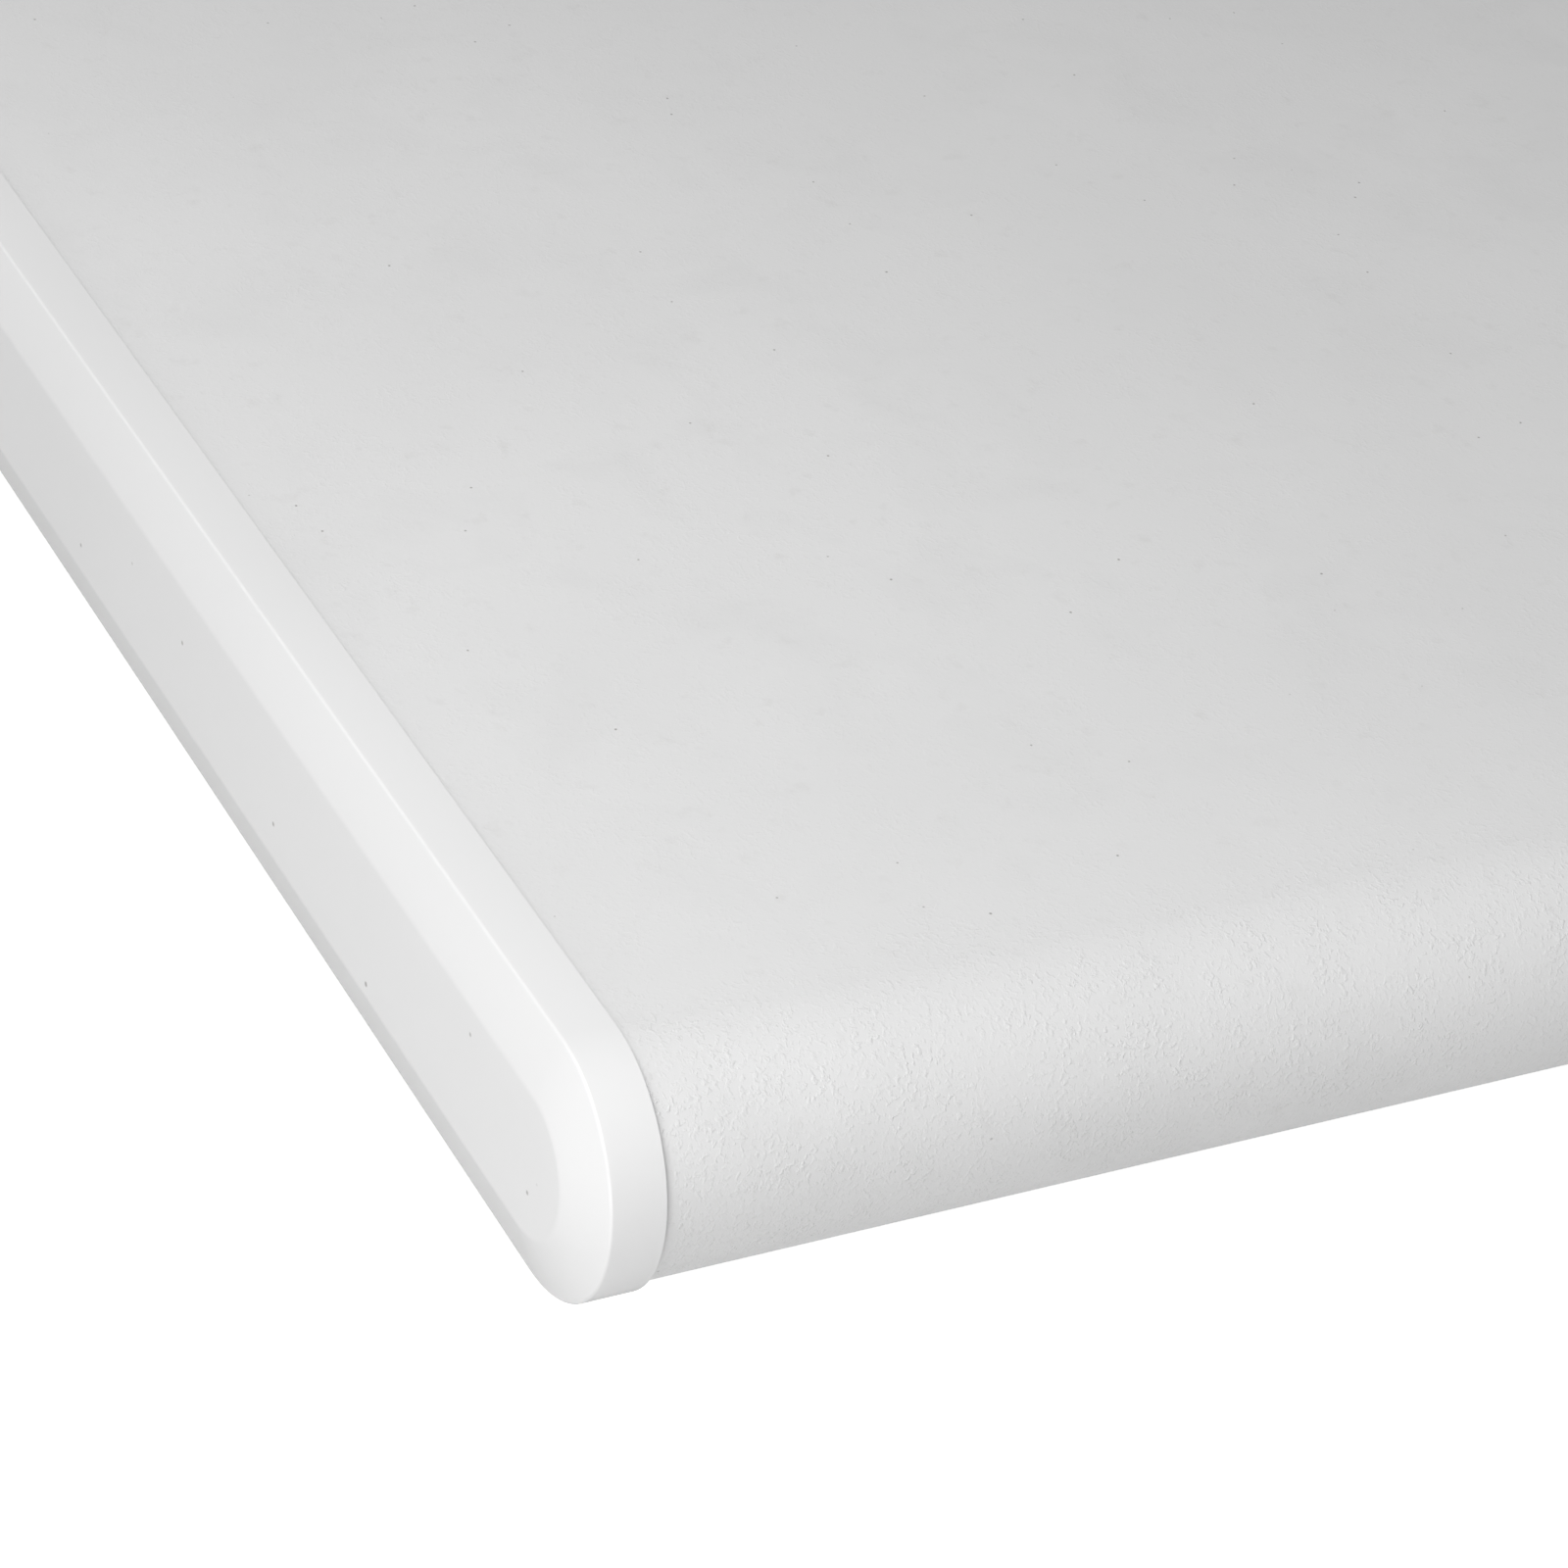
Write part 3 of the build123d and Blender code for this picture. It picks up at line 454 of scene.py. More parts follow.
def hexagon(flats, height, hole, centre, axis="Z", up=1, collar=0.0):
    """A chamfered hexagon nut or, with no hole, a bolt head. The radius is half the flats over
    the cosine of the angle from the nearest flat, and both faces fall away at 30 degrees outside
    a circle just inside the flats. A collar adds a round rim on the far face."""
    turn = np.linspace(0, 2 * np.pi, 73)
    from_flat = (turn + np.pi / 6) % (np.pi / 3) - np.pi / 6
    outline = flats / 2 / np.cos(from_flat)
    face, rim, rolled, ease = 0.475 * flats, 0.43 * flats, 0.39 * flats, 0.0006
    fall = (outline - face) * math.tan(math.pi / 6)
    body = height - collar
    rows = [(hole, 0.0), (face, 0.0), (outline, fall), (outline, body - fall), (face, body)]
    if collar:
        rows += [(rim, body), (rim, height - 0.4 * collar), (rolled, height),
                 (hole + ease, height), (hole, height - ease)]
    else:
        rows += [(hole, body)]
    if hole:
        rows += rows[:1]
    radius, rise = (np.stack([np.broadcast_to(row[k], turn.shape) for row in rows])
                    for k in (0, 1))
    return about_axis(radius, turn, up * rise, centre, axis)


def threaded(radius, pitch, start, end, centre, axis="Z"):
    """A threaded rod: the radius dips by about half the pitch along a helix that rises one pitch a
    turn, and over the last pitch at both ends the whole rod narrows to the groove's depth."""
    around, rows_per_pitch = 28, 6
    rows = int(abs(end - start) / pitch * rows_per_pitch) + 2
    turn = np.linspace(0, 2 * np.pi, around + 1)
    rise = np.linspace(start, end, rows)[:, None]
    phase = (rise / pitch - turn / (2 * np.pi)) % 1.0
    groove = 1 - np.abs(2 * phase - 1)
    ends = np.clip(np.minimum(np.abs(rise - start), np.abs(end - rise)) / pitch, 0, 1)
    reach = radius - 0.55 * pitch * (groove * ends + (1 - ends))
    return about_axis(np.pad(reach, ((1, 1), (0, 0))), turn,
                      np.concatenate([rise[:1], rise, rise[-1:]]), centre, axis)


fastener_steel, tree, shader = new_material("fastener_steel", Metallic=1.0)
fastener_lines = place_effect(tree, grain, Scale_X=1900.0, Scale_Y=1900.0,
                              Scale_Z=500.0)["Height"]
fastener_marks = place_effect(tree, stain, Patch_Scale=70.0, Speck_Scale=900.0,
                              Speck_Amount=0.05)
fastener_clean = blend_colour(tree, remap(tree, fastener_lines, 0.3, 0.7, 0, 1),
                              (0.44, 0.44, 0.43), (0.60, 0.60, 0.59))
fastener_dull = blend_colour(tree, remap(tree, fastener_marks["Cloud"], 0.3, 1, 0, 0.5),
                             fastener_clean, (0.36, 0.34, 0.31))
dress(tree, shader,
      blend_colour(tree, fastener_marks["Speck"], fastener_dull, (0.18, 0.12, 0.08)),
      remap(tree, fastener_marks["Cloud"], 0, 1, 0.22, 0.40),
      bump_normal(tree, fastener_lines, 0.00003, 0.0003))

nylon_ring, tree, shader = new_material("nylon_ring", Subsurface_Weight=0.15,
                                        Specular_IOR_Level=0.4)
nylon_cloud = place_effect(tree, stain, Patch_Scale=90.0)["Cloud"]
dress(tree, shader, blend_colour(tree, nylon_cloud, (0.72, 0.70, 0.62), (0.60, 0.57, 0.49)),
      remap(tree, nylon_cloud, 0, 1, 0.34, 0.5), bump_normal(tree, nylon_cloud, 0.00004, 0.0004))

low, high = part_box("hinge_pin")
pin_radius = (high.z - low.z) / 2
pin_centre = (0.0, (low.y + high.y) / 2, (low.z + high.z) / 2)
nut_low, nut_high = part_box("hinge_pin_nuts")
nut_flats = nut_high.z - nut_low.z
washer_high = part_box("hinge_pin_washers")[1].x
pin_pitch, pin_collar, thread_overlap = 0.0025, 0.004, 0.0005
pin_steel = stainless("pin_steel", "X", 0.62, 0.16, 0.0)
pin = make_piece("pin_bar", [
    revolved(plain_bar(pin_radius, -washer_high, washer_high), pin_centre, "X"),
    threaded(pin_radius, pin_pitch, washer_high - thread_overlap, high.x, pin_centre, "X"),
    threaded(pin_radius, pin_pitch, -washer_high + thread_overlap, low.x, pin_centre, "X")],
    "base", pin_steel, crease=50.0)
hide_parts("hinge_pin")
pin_nuts = make_piece("pin_lock_nuts", [
    hexagon(nut_flats, nut_high.x - washer_high, pin_radius,
            (side * washer_high, *pin_centre[1:]), "X", side, pin_collar) for side in (-1, 1)],
    "base", fastener_steel)
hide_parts("hinge_pin_nuts")


def nylon_insert(name, flats, rod, tops, body, axis="Z"):
    """The nylon rings of a group of lock nuts: a low band inside each collar, level with it."""
    radius, bore, thick, sunk = 0.36 * flats, rod - 0.0002, 0.0016, 0.0001
    band = np.array([(bore, -thick), (radius, -thick), (radius, -sunk), (bore, -sunk),
                     (bore, -thick)])
    make_piece(name, [revolved(band * (1, up), top, axis) for top, up in tops],
               body, nylon_ring)


pin_ring_proud = 0.0003
nylon_insert("pin_nut_rings", nut_flats, pin_radius,
             [((side * (nut_high.x + pin_ring_proud), *pin_centre[1:]), side)
              for side in (-1, 1)], "base", "X")
finish_node("hinge_pin_washers", fastener_steel)


# ---- Hinge bushes and thrust washers ----
# Turned from natural nylon, a warm off-white. The bush is pressed into the ear, and a loose
# washer takes up the gap on the ear's other side.

for side in ("left", "right"):
    finish_node(f"hinge_bush_{side}", nylon_ring)
    finish_node(f"thrust_washer_{side}", nylon_ring)


# ---- Spring cups ----
# Shallow turned cups hold both ends of each spring: a stainless one welded on the base beam, and
# a painted one under the spring plate. Each has a fillet weld round its foot.

# Edge wear: where a rounded normal leaves the true one, broken up by noise
wear, wear_in, wear_out = effect("edge_wear", {"Radius": 0.0012, "Break Up": 420.0}, ["Wear"])
wear_round = add_node(wear, "ShaderNodeBevel", {"Radius": wear_in["Radius"]}, samples=4)
wear_dot = add_node(wear, "ShaderNodeVectorMath", {
    0: wear_round.outputs[0], 1: add_node(wear, "ShaderNodeNewGeometry").outputs["Normal"]},
    operation="DOT_PRODUCT")
wear_edge = remap(wear, wear_dot.outputs["Value"], 0.995, 0.90, 0.0, 1.0)
wear_noise = noise(wear, own_place(wear), wear_in["Break Up"], 4.0, 0.7)
wear_spot = remap(wear, wear_noise, 0.50, 0.62, 0.0, 1.0)
wear.links.new(sum_of(wear, "MULTIPLY", wear_edge, wear_spot), wear_out.inputs["Wear"])

# Peel: the rolling skin of a baked coat, two sizes of noise added
peel, peel_in, peel_out = effect("peel", {"Scale": 420.0, "Fine": 0.35}, ["Height"])
peel_place = own_place(peel)
peel_wide = noise(peel, peel_place, peel_in["Scale"], 1.0)
peel_small = noise(peel, peel_place, sum_of(peel, "MULTIPLY", peel_in["Scale"], 3.1), 2.0)
peel_share = sum_of(peel, "MULTIPLY", peel_small, peel_in["Fine"])
peel.links.new(sum_of(peel, "ADD", peel_wide, peel_share), peel_out.inputs["Height"])


def coated(name, skin, patch_scale, specks, tones, rough, depth, edge_round=0.0, **constants):
    """A coat, rubber or casting: clouds between two tones, specks of a third, roughness between
    two values, and the peel's relief. skin is the peel's scale and fine share, and specks are
    their scale, amount and colour. Returns the material, its tree, its shader and the specks."""
    made, tree, shader = new_material(name, **constants)
    height = place_effect(tree, peel, Scale=skin[0], Fine=skin[1])["Height"]
    marks = place_effect(tree, stain, Patch_Scale=patch_scale, Speck_Scale=specks[0],
                         Speck_Amount=specks[1])
    tone = blend_colour(tree, marks["Cloud"], *tones)
    dress(tree, shader, blend_colour(tree, marks["Speck"], tone, specks[2]),
          remap(tree, marks["Cloud"], 0, 1, *rough),
          bump_normal(tree, height, depth, edge_round))
    return made, tree, shader, marks["Speck"]


frame_paint, tree, shader, _ = coated(
    "frame_paint", (520.0, 0.3), 6.0, (420.0, 0.04, (0.42, 0.42, 0.41)),
    ((0.235, 0.250, 0.270), (0.285, 0.300, 0.320)), (0.36, 0.50), 0.00010, 0.0010,
    Specular_IOR_Level=0.5)
paint_wear = place_effect(tree, wear, Radius=0.0012, Break_Up=380.0)["Wear"]
paint_whole = shader.inputs["Base Color"].links[0].from_socket
tree.links.new(blend_colour(tree, paint_wear, paint_whole, (0.50, 0.49, 0.47)),
               shader.inputs["Base Color"])
tree.links.new(paint_wear, shader.inputs["Metallic"])

cup_weld = 0.0020


def level_centre(low, high, z):
    """The middle of a box seen from above, at a height."""
    return (low.x + high.x) / 2, (low.y + high.y) / 2, z


cup_beads = []
for side in ("left", "right"):
    finish_node(f"lower_spring_cup_{side}", plate_steel)
    finish_node(f"upper_spring_cup_{side}", frame_paint)
    low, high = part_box(f"lower_spring_cup_{side}")
    cup_beads.append(ring_bead(level_centre(low, high, low.z), (high.x - low.x) / 2, cup_weld))
make_piece("cup_welds", cup_beads, "base", weld_steel)


# ---- Coil springs ----
# Two cold-wound springs in black epoxy. The end turns lie flat and are ground where they bear,
# and the coat has chipped a little along the wire.

spring_coat, tree, shader, coat_chips = coated(
    "spring_coat", (650.0, 0.25), 45.0, (380.0, 0.10, (0.30, 0.28, 0.26)),
    ((0.018, 0.018, 0.020), (0.040, 0.040, 0.042)), (0.30, 0.48), 0.00006,
    Coat_Weight=0.25, Coat_Roughness=0.25)
tree.links.new(coat_chips, shader.inputs["Metallic"])

wire_radius, spring_turns = 0.0045, 7.5
cup_floor, spring_gap = 0.005, 0.0003


def coil(centre, radius, floor, roof):
    """A compression spring: the wire's centre turns on a circle, lies level for three quarters of
    a turn at each end, and climbs between, a little slower at first and last. Points past either
    ground face are pressed level with it."""
    turn = np.linspace(0, spring_turns, int(spring_turns * 44))
    flat = 0.75
    climb = np.clip((turn - flat) / (spring_turns - 2 * flat), 0, 1)
    ease = climb * climb * (3 - 2 * climb) * 0.25 + climb * 0.75
    rise = floor + wire_radius * 0.75 + (roof - floor - 1.5 * wire_radius) * ease
    angle = 2 * np.pi * turn
    path = np.stack([centre[0] + radius * np.cos(angle), centre[1] + radius * np.sin(angle),
                     rise], axis=1)
    grid = swept(path, wire_radius, (0, 0, 1), around=18)
    grid[..., 2] = np.clip(grid[..., 2], floor, roof)
    return grid


for side in ("left", "right"):
    low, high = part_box(f"coil_spring_{side}")
    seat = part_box(f"lower_spring_cup_{side}")[0].z + cup_floor
    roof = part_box(f"upper_spring_cup_{side}")[1].z - cup_floor
    spring_centre = level_centre(low, high, seat)
    spring = make_piece(f"spring_wire_{side}",
                        [coil(spring_centre, (high.x - low.x) / 2 - wire_radius,
                              seat + spring_gap, roof - spring_gap)],
                        None, spring_coat, crease=60.0)
    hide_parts(f"coil_spring_{side}")
    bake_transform(spring)


# ---- Rebound bolts ----
# An M16 bolt stands up through each spring, its head under the base beam. A rubber buffer, a
# washer and a lock nut on its top catch the rocker when it springs back.

low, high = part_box("rebound_bolts")
head_low, head_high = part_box("rebound_head_washers")
buffer_low, buffer_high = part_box("rebound_buffers")
nut_low, nut_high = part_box("rebound_nuts")
washer_radius = (head_high.y - head_low.y) / 2
rebound_spots = [(x, (head_low.y + head_high.y) / 2)
                 for x in (head_low.x + washer_radius, head_high.x - washer_radius)]
rod_radius, rod_pitch, head_flats, rebound_collar = 0.008, 0.002, 0.024, 0.0035
rod_parts, rebound_nut_parts = [], []
for spot in rebound_spots:
    rod_parts += [hexagon(head_flats, head_low.z - low.z, 0.0, (*spot, head_low.z), up=-1),
                  revolved(plain_bar(rod_radius, head_low.z, seat), (*spot, 0.0)),
                  threaded(rod_radius, rod_pitch, seat - thread_overlap, high.z, (*spot, 0.0))]
    rebound_nut_parts.append(hexagon(head_flats, nut_high.z - nut_low.z, rod_radius,
                                     (*spot, nut_low.z), collar=rebound_collar))
rods = make_piece("rebound_rods", rod_parts, "base", fastener_steel, 50.0)
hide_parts("rebound_bolts")
rebound_lock_nuts = make_piece("rebound_lock_nuts", rebound_nut_parts, "base", fastener_steel)
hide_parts("rebound_nuts")
rebound_ring_proud = 0.0002
nylon_insert("rebound_nut_rings", head_flats, rod_radius,
             [((*spot, nut_high.z + rebound_ring_proud), 1) for spot in rebound_spots], "base")
finish_node("rebound_head_washers", fastener_steel)
finish_node("rebound_washers", fastener_steel)

black_rubber, *_ = coated(
    "black_rubber", (900.0, 0.5), 14.0, (700.0, 0.08, (0.13, 0.13, 0.125)),
    ((0.020, 0.020, 0.021), (0.052, 0.052, 0.053)), (0.58, 0.80), 0.00008, 0.0010,
    Specular_IOR_Level=0.35)


def bulged(radius, hole, low_z, high_z, bulge):
    """Profile of a squeezed rubber ring: its outer wall bows out by a half sine."""
    share = np.linspace(0, 1, 15)
    wall = np.stack([radius - bulge + bulge * np.sin(np.pi * share),
                     low_z + (high_z - low_z) * share], axis=1)
    return np.concatenate([[(hole, low_z)], wall, [(hole, high_z), (hole, low_z)]])


buffer_bulge = 0.0012
buffer_profile = bulged((buffer_high.y - buffer_low.y) / 2, rod_radius, buffer_low.z,
                        buffer_high.z, buffer_bulge)
buffers = make_piece("rebound_rubbers",
                     [revolved(buffer_profile, (*spot, 0.0)) for spot in rebound_spots],
                     "base", black_rubber, crease=40.0)
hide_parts("rebound_buffers")


# ---- Bonding lug ----
# A small cast brass block on one back flange takes the pool's earth wire in a cross hole, and a
# screw from above clamps it. The brass has dulled and greened a little in its corners.

lug_brass, *_ = coated(
    "lug_brass", (800.0, 0.6), 90.0, (900.0, 0.10, (0.22, 0.34, 0.26)),
    ((0.62, 0.44, 0.18), (0.36, 0.25, 0.12)), (0.30, 0.52), 0.00008, 0.0004, Metallic=1.0)
finish_node("bonding_lug", lug_brass)
finish_node("bonding_lug_screw", fastener_steel)


# ---- Rocker frame ----
# Rails, brace, cross beams, spring plate and hinge ears are mild steel, welded up and then powder
# coated in satin pewter grey. Edges and corners have lost a little of the coat.

cross_beams = ("fulcrum_beam", "butt_beam_front", "butt_beam_back")
for node in ("rocker_rail_left", "rocker_rail_right", "rocker_brace", *cross_beams,
             "spring_plate", "hinge_ear_left", "hinge_ear_right"):
    finish_node(node, frame_paint)

# Weld radii, how far a bead lies in from a cross beam's side, and how far beads stop short
cross_weld, cross_lap, cross_short = 0.0028, 0.0012, 0.003
frame_weld, brace_short, edge_short = 0.0022, 0.004, 0.006
frame_beads = []
brace_low, brace_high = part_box("rocker_brace")
plate_low, plate_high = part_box("spring_plate")
for side in ("left", "right"):
    low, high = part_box(f"rocker_rail_{side}")
    inner, outer = (high.x, low.x) if side == "left" else (low.x, high.x)
    for beam in cross_beams:
        beam_low, beam_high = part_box(beam)
        for y in (beam_low.y + cross_lap, beam_high.y - cross_lap):
            frame_beads.append(straight_bead((low.x + cross_short, y, high.z),
                                             (high.x - cross_short, y, high.z), cross_weld))
    ear_low, ear_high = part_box(f"hinge_ear_{side}")
    upright_lines = [((inner, y, low.z + edge_short), (inner, y, ear_high.z))
                     for y in (ear_low.y, ear_high.y)]
    upright_lines += [((inner, brace_low.y + brace_short, z),
                       (inner, brace_high.y - brace_short, z))
                      for z in (brace_low.z, brace_high.z)]
    upright_lines += [((inner, y, brace_low.z + brace_short),
                       (inner, y, brace_high.z - brace_short))
                      for y in (brace_low.y, brace_high.y)]
    frame_beads += [straight_bead(start, end, frame_weld, (1, 0, 0))
                    for start, end in upright_lines]
    frame_beads += [straight_bead((x, plate_low.y + edge_short, low.z),
                                  (x, plate_high.y - edge_short, low.z), frame_weld)
                    for x in (inner, outer)]
make_piece("frame_welds", frame_beads, "rocker", frame_paint)

upper_beads = []
for side in ("left", "right"):
    low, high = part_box(f"upper_spring_cup_{side}")
    upper_beads.append(ring_bead(level_centre(low, high, high.z), (high.x - low.x) / 2,
                                 cup_weld))
make_piece("upper_cup_welds", upper_beads, "rocker", frame_paint)


# ---- End plugs ----
# Black moulded plugs close every open tube end. Each has a stem pressed into the bore, and a
# flange as large as the tube with softly rounded edges and a shallow domed face.

plug_plastic, tree, shader = new_material("plug_plastic", Specular_IOR_Level=0.45)
plug_skin = place_effect(tree, peel, Scale=1300.0, Fine=0.6)["Height"]
plug_cloud = place_effect(tree, stain, Patch_Scale=40.0)["Cloud"]
dress(tree, shader,
      blend_colour(tree, plug_cloud, (0.022, 0.022, 0.023), (0.045, 0.045, 0.046)),
      remap(tree, plug_cloud, 0, 1, 0.42, 0.60), bump_normal(tree, plug_skin, 0.00005))


def rounded_rectangle(width, height, corner):
    """Points round a rectangle whose corners are quarter circles, the last on the first."""
    quarter = np.linspace(0, np.pi / 2, 9)
    turn = np.concatenate([quarter + k * np.pi / 2 for k in range(4)])
    across = np.repeat([1, -1, -1, 1], 9) * (width / 2 - corner)
    up = np.repeat([1, 1, -1, -1], 9) * (height / 2 - corner)
    outline = np.stack([across + corner * np.cos(turn), up + corner * np.sin(turn)], axis=1)
    return np.concatenate([outline, outline[:1]])


tube_corner, tube_wall, plug_depth = 0.005, 0.003, 0.020
plug_play, plug_soften, plug_dome = 0.0004, 0.0014, 0.0008


def plug(width, height, lip):
    """A plug's rows from the stem's end to the dome's middle, each an outline at a height. The
    lip's edge is a quarter circle, and its face rises to the middle as a shallow parabola."""
    stem = rounded_rectangle(width - 2 * tube_wall - plug_play, height - 2 * tube_wall - plug_play,
                             tube_corner - tube_wall)
    rim = rounded_rectangle(width, height, tube_corner)
    rows = [(stem * 0, -plug_depth), (stem, -plug_depth), (stem, 0.0), (rim, 0.0)]
    for share in np.linspace(0, np.pi / 2, 5):
        inset = 2 * plug_soften * (1 - math.cos(share))
        rows.append((rounded_rectangle(width - inset, height - inset, tube_corner),
                     lip - plug_dome - plug_soften * (1 - math.sin(share))))
    face = rows[-1][0]
    rows += [(face * k, lip - plug_dome * k * k) for k in (0.85, 0.6, 0.3, 0.0)]
    return np.stack([np.column_stack([outline, np.full(len(outline), rise)])
                     for outline, rise in rows])


low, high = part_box("rail_end_plugs")
rail_low, rail_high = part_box("rocker_rail_right")
rail_shape = plug(rail_high.x - rail_low.x, rail_high.z - rail_low.z, rail_low.y - low.y)
rail_plug_parts = []
for sign in (-1, 1):
    for y, outward in ((rail_low.y, -1), (rail_high.y, 1)):
        rail_plug_parts.append(np.stack([
            sign * (rail_low.x + rail_high.x) / 2 + rail_shape[..., 0],
            y + outward * rail_shape[..., 2],
            (rail_low.z + rail_high.z) / 2 + rail_shape[..., 1]], axis=-1))
rail_plugs = make_piece("rail_plugs", rail_plug_parts, "rocker", plug_plastic,
                        crease=50.0)
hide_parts("rail_end_plugs")

beam_plug_parts = []
for beam in cross_beams:
    low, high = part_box(beam)
    beam_shape = plug(high.y - low.y, high.z - low.z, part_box("beam_end_plugs")[1].x - high.x)
    for outward in (-1, 1):
        beam_plug_parts.append(np.stack([
            outward * (high.x + beam_shape[..., 2]),
            (low.y + high.y) / 2 + beam_shape[..., 0],
            (low.z + high.z) / 2 + beam_shape[..., 1]], axis=-1))
beam_plugs = make_piece("beam_plugs", beam_plug_parts, "rocker", plug_plastic,
                        crease=50.0)
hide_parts("beam_end_plugs")


# ---- Bump stop ----
# A waisted block of black rubber hangs under the spring plate on a bonded stud. It meets the
# base beam softly at the end of the travel.

low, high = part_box("bump_stop")
stop_radius = (high.y - low.y) / 2
share = np.linspace(0, 1, 40)
swell = np.minimum(share / 0.3, 1)
waist = np.where(share < 0.3, 0.56 + 0.44 * np.sin(np.pi / 2 * swell) ** 0.75,
                 np.where(share < 0.85, 1 - 0.19 * np.sin(np.pi * (share - 0.3) / 0.55), 1.0))
stop_wall = np.stack([stop_radius * waist, low.z + (high.z - low.z) * share], axis=1)
stop_profile = np.concatenate([[(0.0, low.z)], stop_wall, [(0.0, high.z)]])
stopper = make_piece("stop_rubber",
                     [revolved(stop_profile, level_centre(low, high, 0.0), around=64)],
                     "rocker", black_rubber, crease=50.0)
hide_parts("bump_stop")
finish_node("bump_stop_stud", fastener_steel)
finish_node("bump_stop_nut", fastener_steel)


# ---- Rubber pads ----
# A crowned pad lies on the fulcrum beam and two flat ones under the butt. All are cut from black
# rubber strip, and the fulcrum's is held by three countersunk screws.

for node in ("fulcrum_pad", "butt_pad_front", "butt_pad_back", "board_bolt_gaskets"):
    finish_node(node, black_rubber)
finish_node("fulcrum_pad_screws", fastener_steel)


# ---- Plank ----
# An extruded aluminium plank with full-round long edges, coated all over in a thick off-white
# non-slip coat. The coat has a fine leathery stipple, faint cloudy patches and a few dark pits.

low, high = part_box("plank")
skin_turn = high.x - (high.z - low.z) / 2
skin_coat, tree, shader = new_material("skin_coat", Specular_IOR_Level=0.32)
skin_place = own_place(tree)
skin_cloud = place_effect(tree, stain, Patch_Scale=38.0)["Cloud"]
skin_base = blend_colour(tree, remap(tree, noise(tree, skin_place, 9.0, 3.0), 0.3, 0.7, 0, 1),
                         (0.765, 0.765, 0.765), (0.795, 0.795, 0.795))
skin_patched = blend_colour(tree, remap(tree, skin_cloud, 0.45, 1, 0, 0.5),
                            skin_base, (0.735, 0.735, 0.735))
skin_smudge = noise(tree, skin_place, 150.0, 3.0, 0.65)
skin_smudged = blend_colour(tree, remap(tree, skin_smudge, 0.60, 0.80, 0, 0.45),
                            skin_patched, (0.68, 0.675, 0.67))
skin_cells = add_node(tree, "ShaderNodeTexVoronoi", {"Vector": skin_place, "Scale": 110.0})
skin_pit = remap(tree, skin_cells.outputs["Distance"], 0.012, 0.038, 1.0, 0.0)

# The stipple comes and goes in patches, and is fainter on the flat than where the edge turns
skin_ridge = remap(tree, noise(tree, skin_place, 950.0, 2.0, 0.55, 0.3), 0.50, 0.72, 0.0, 1.0)
skin_patch = remap(tree, noise(tree, skin_place, 110.0, 2.0), 0.38, 0.62, 0.40, 1.0)
skin_across = add_node(tree, "ShaderNodeMath", {
    0: add_node(tree, "ShaderNodeSeparateXYZ", {0: skin_place}).outputs["X"]},
    operation="ABSOLUTE").outputs[0]
skin_edge = remap(tree, skin_across, skin_turn - 0.012, skin_turn + 0.010, 0.40, 1.0)
skin_relief = sum_of(tree, "MULTIPLY", skin_ridge,
                     sum_of(tree, "MULTIPLY", skin_patch, skin_edge))
dress(tree, shader, blend_colour(tree, skin_pit, skin_smudged, (0.34, 0.33, 0.32)),
      remap(tree, skin_cloud, 0, 1, 0.50, 0.62),
      bump_normal(tree, sum_of(tree, "SUBTRACT", skin_relief, skin_pit), 0.00011))

half_round_segments = 48


def stadium(width, height):
    """Points round an outline with two straight sides and two half-round ends, the last on the
    first. Each straight side is cut into spans so that long thin faces are avoided."""
    radius = height / 2
    flat = width / 2 - radius
    turn = np.linspace(-np.pi / 2, np.pi / 2, half_round_segments + 1)
    span = np.linspace(flat, -flat, 9)[1:-1]
    x = np.concatenate([flat + radius * np.cos(turn), span,
                        -flat - radius * np.cos(turn), -span, [flat]])
    z = np.concatenate([radius * np.sin(turn), np.full(span.size, radius),
                        -radius * np.sin(turn), np.full(span.size, -radius), [-radius]])
    return np.stack([x, z], axis=1)


def lengthwise(rows, middle_z):
    """A solid made of outlines, each an (outline, y) pair, one after another along the board."""
    return np.stack([np.stack([outline[:, 0], np.full(len(outline), y),
                               middle_z + outline[:, 1]], axis=1) for outline, y in rows])


board_middle = (low.z + high.z) / 2
board_outline = stadium(high.x - low.x, high.z - low.z)
board_rows = [(board_outline * 0, low.y)]
board_rows += [(board_outline, y) for y in np.linspace(low.y, high.y, 25)]
board_rows += [(board_outline * 0, high.y)]
board = make_piece("board_skin", [lengthwise(board_rows, board_middle)], "rocker", skin_coat)
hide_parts("plank")


# ---- End caps ----
# Each end is closed by a smooth injection-moulded cap, a little proud of the plank all round.
# It has a plain rim, a crisp edge, a wide shallow bevel and a flat face, in semi-gloss white.

cap_white, tree, shader = new_material("cap_white", Specular_IOR_Level=0.5)
cap_place = own_place(tree)
cap_speck = place_effect(tree, stain, Speck_Scale=330.0, Speck_Amount=0.012)["Speck"]
cap_soft = noise(tree, cap_place, 13.0, 0.0)
cap_base = blend_colour(tree, remap(tree, cap_soft, 0.3, 0.7, 0, 1),
                        (0.838, 0.838, 0.838), (0.818, 0.818, 0.818))
dress(tree, shader, blend_colour(tree, cap_speck, cap_base, (0.45, 0.44, 0.43)),
      remap(tree, cap_soft, 0.3, 0.7, 0.20, 0.27),
      bump_normal(tree, noise(tree, cap_place, 34.0, 0.0), 0.00006))

cap_rim, cap_bevel_depth, cap_bevel_width = 0.0105, 0.0039, 0.0120
cap_plug_depth, cap_plug_inset, cap_lip = 0.0300, 0.0040, 0.0002
edge_radius, face_radius = 0.0007, 0.004
bevel_angle = math.atan2(cap_bevel_depth, cap_bevel_width)


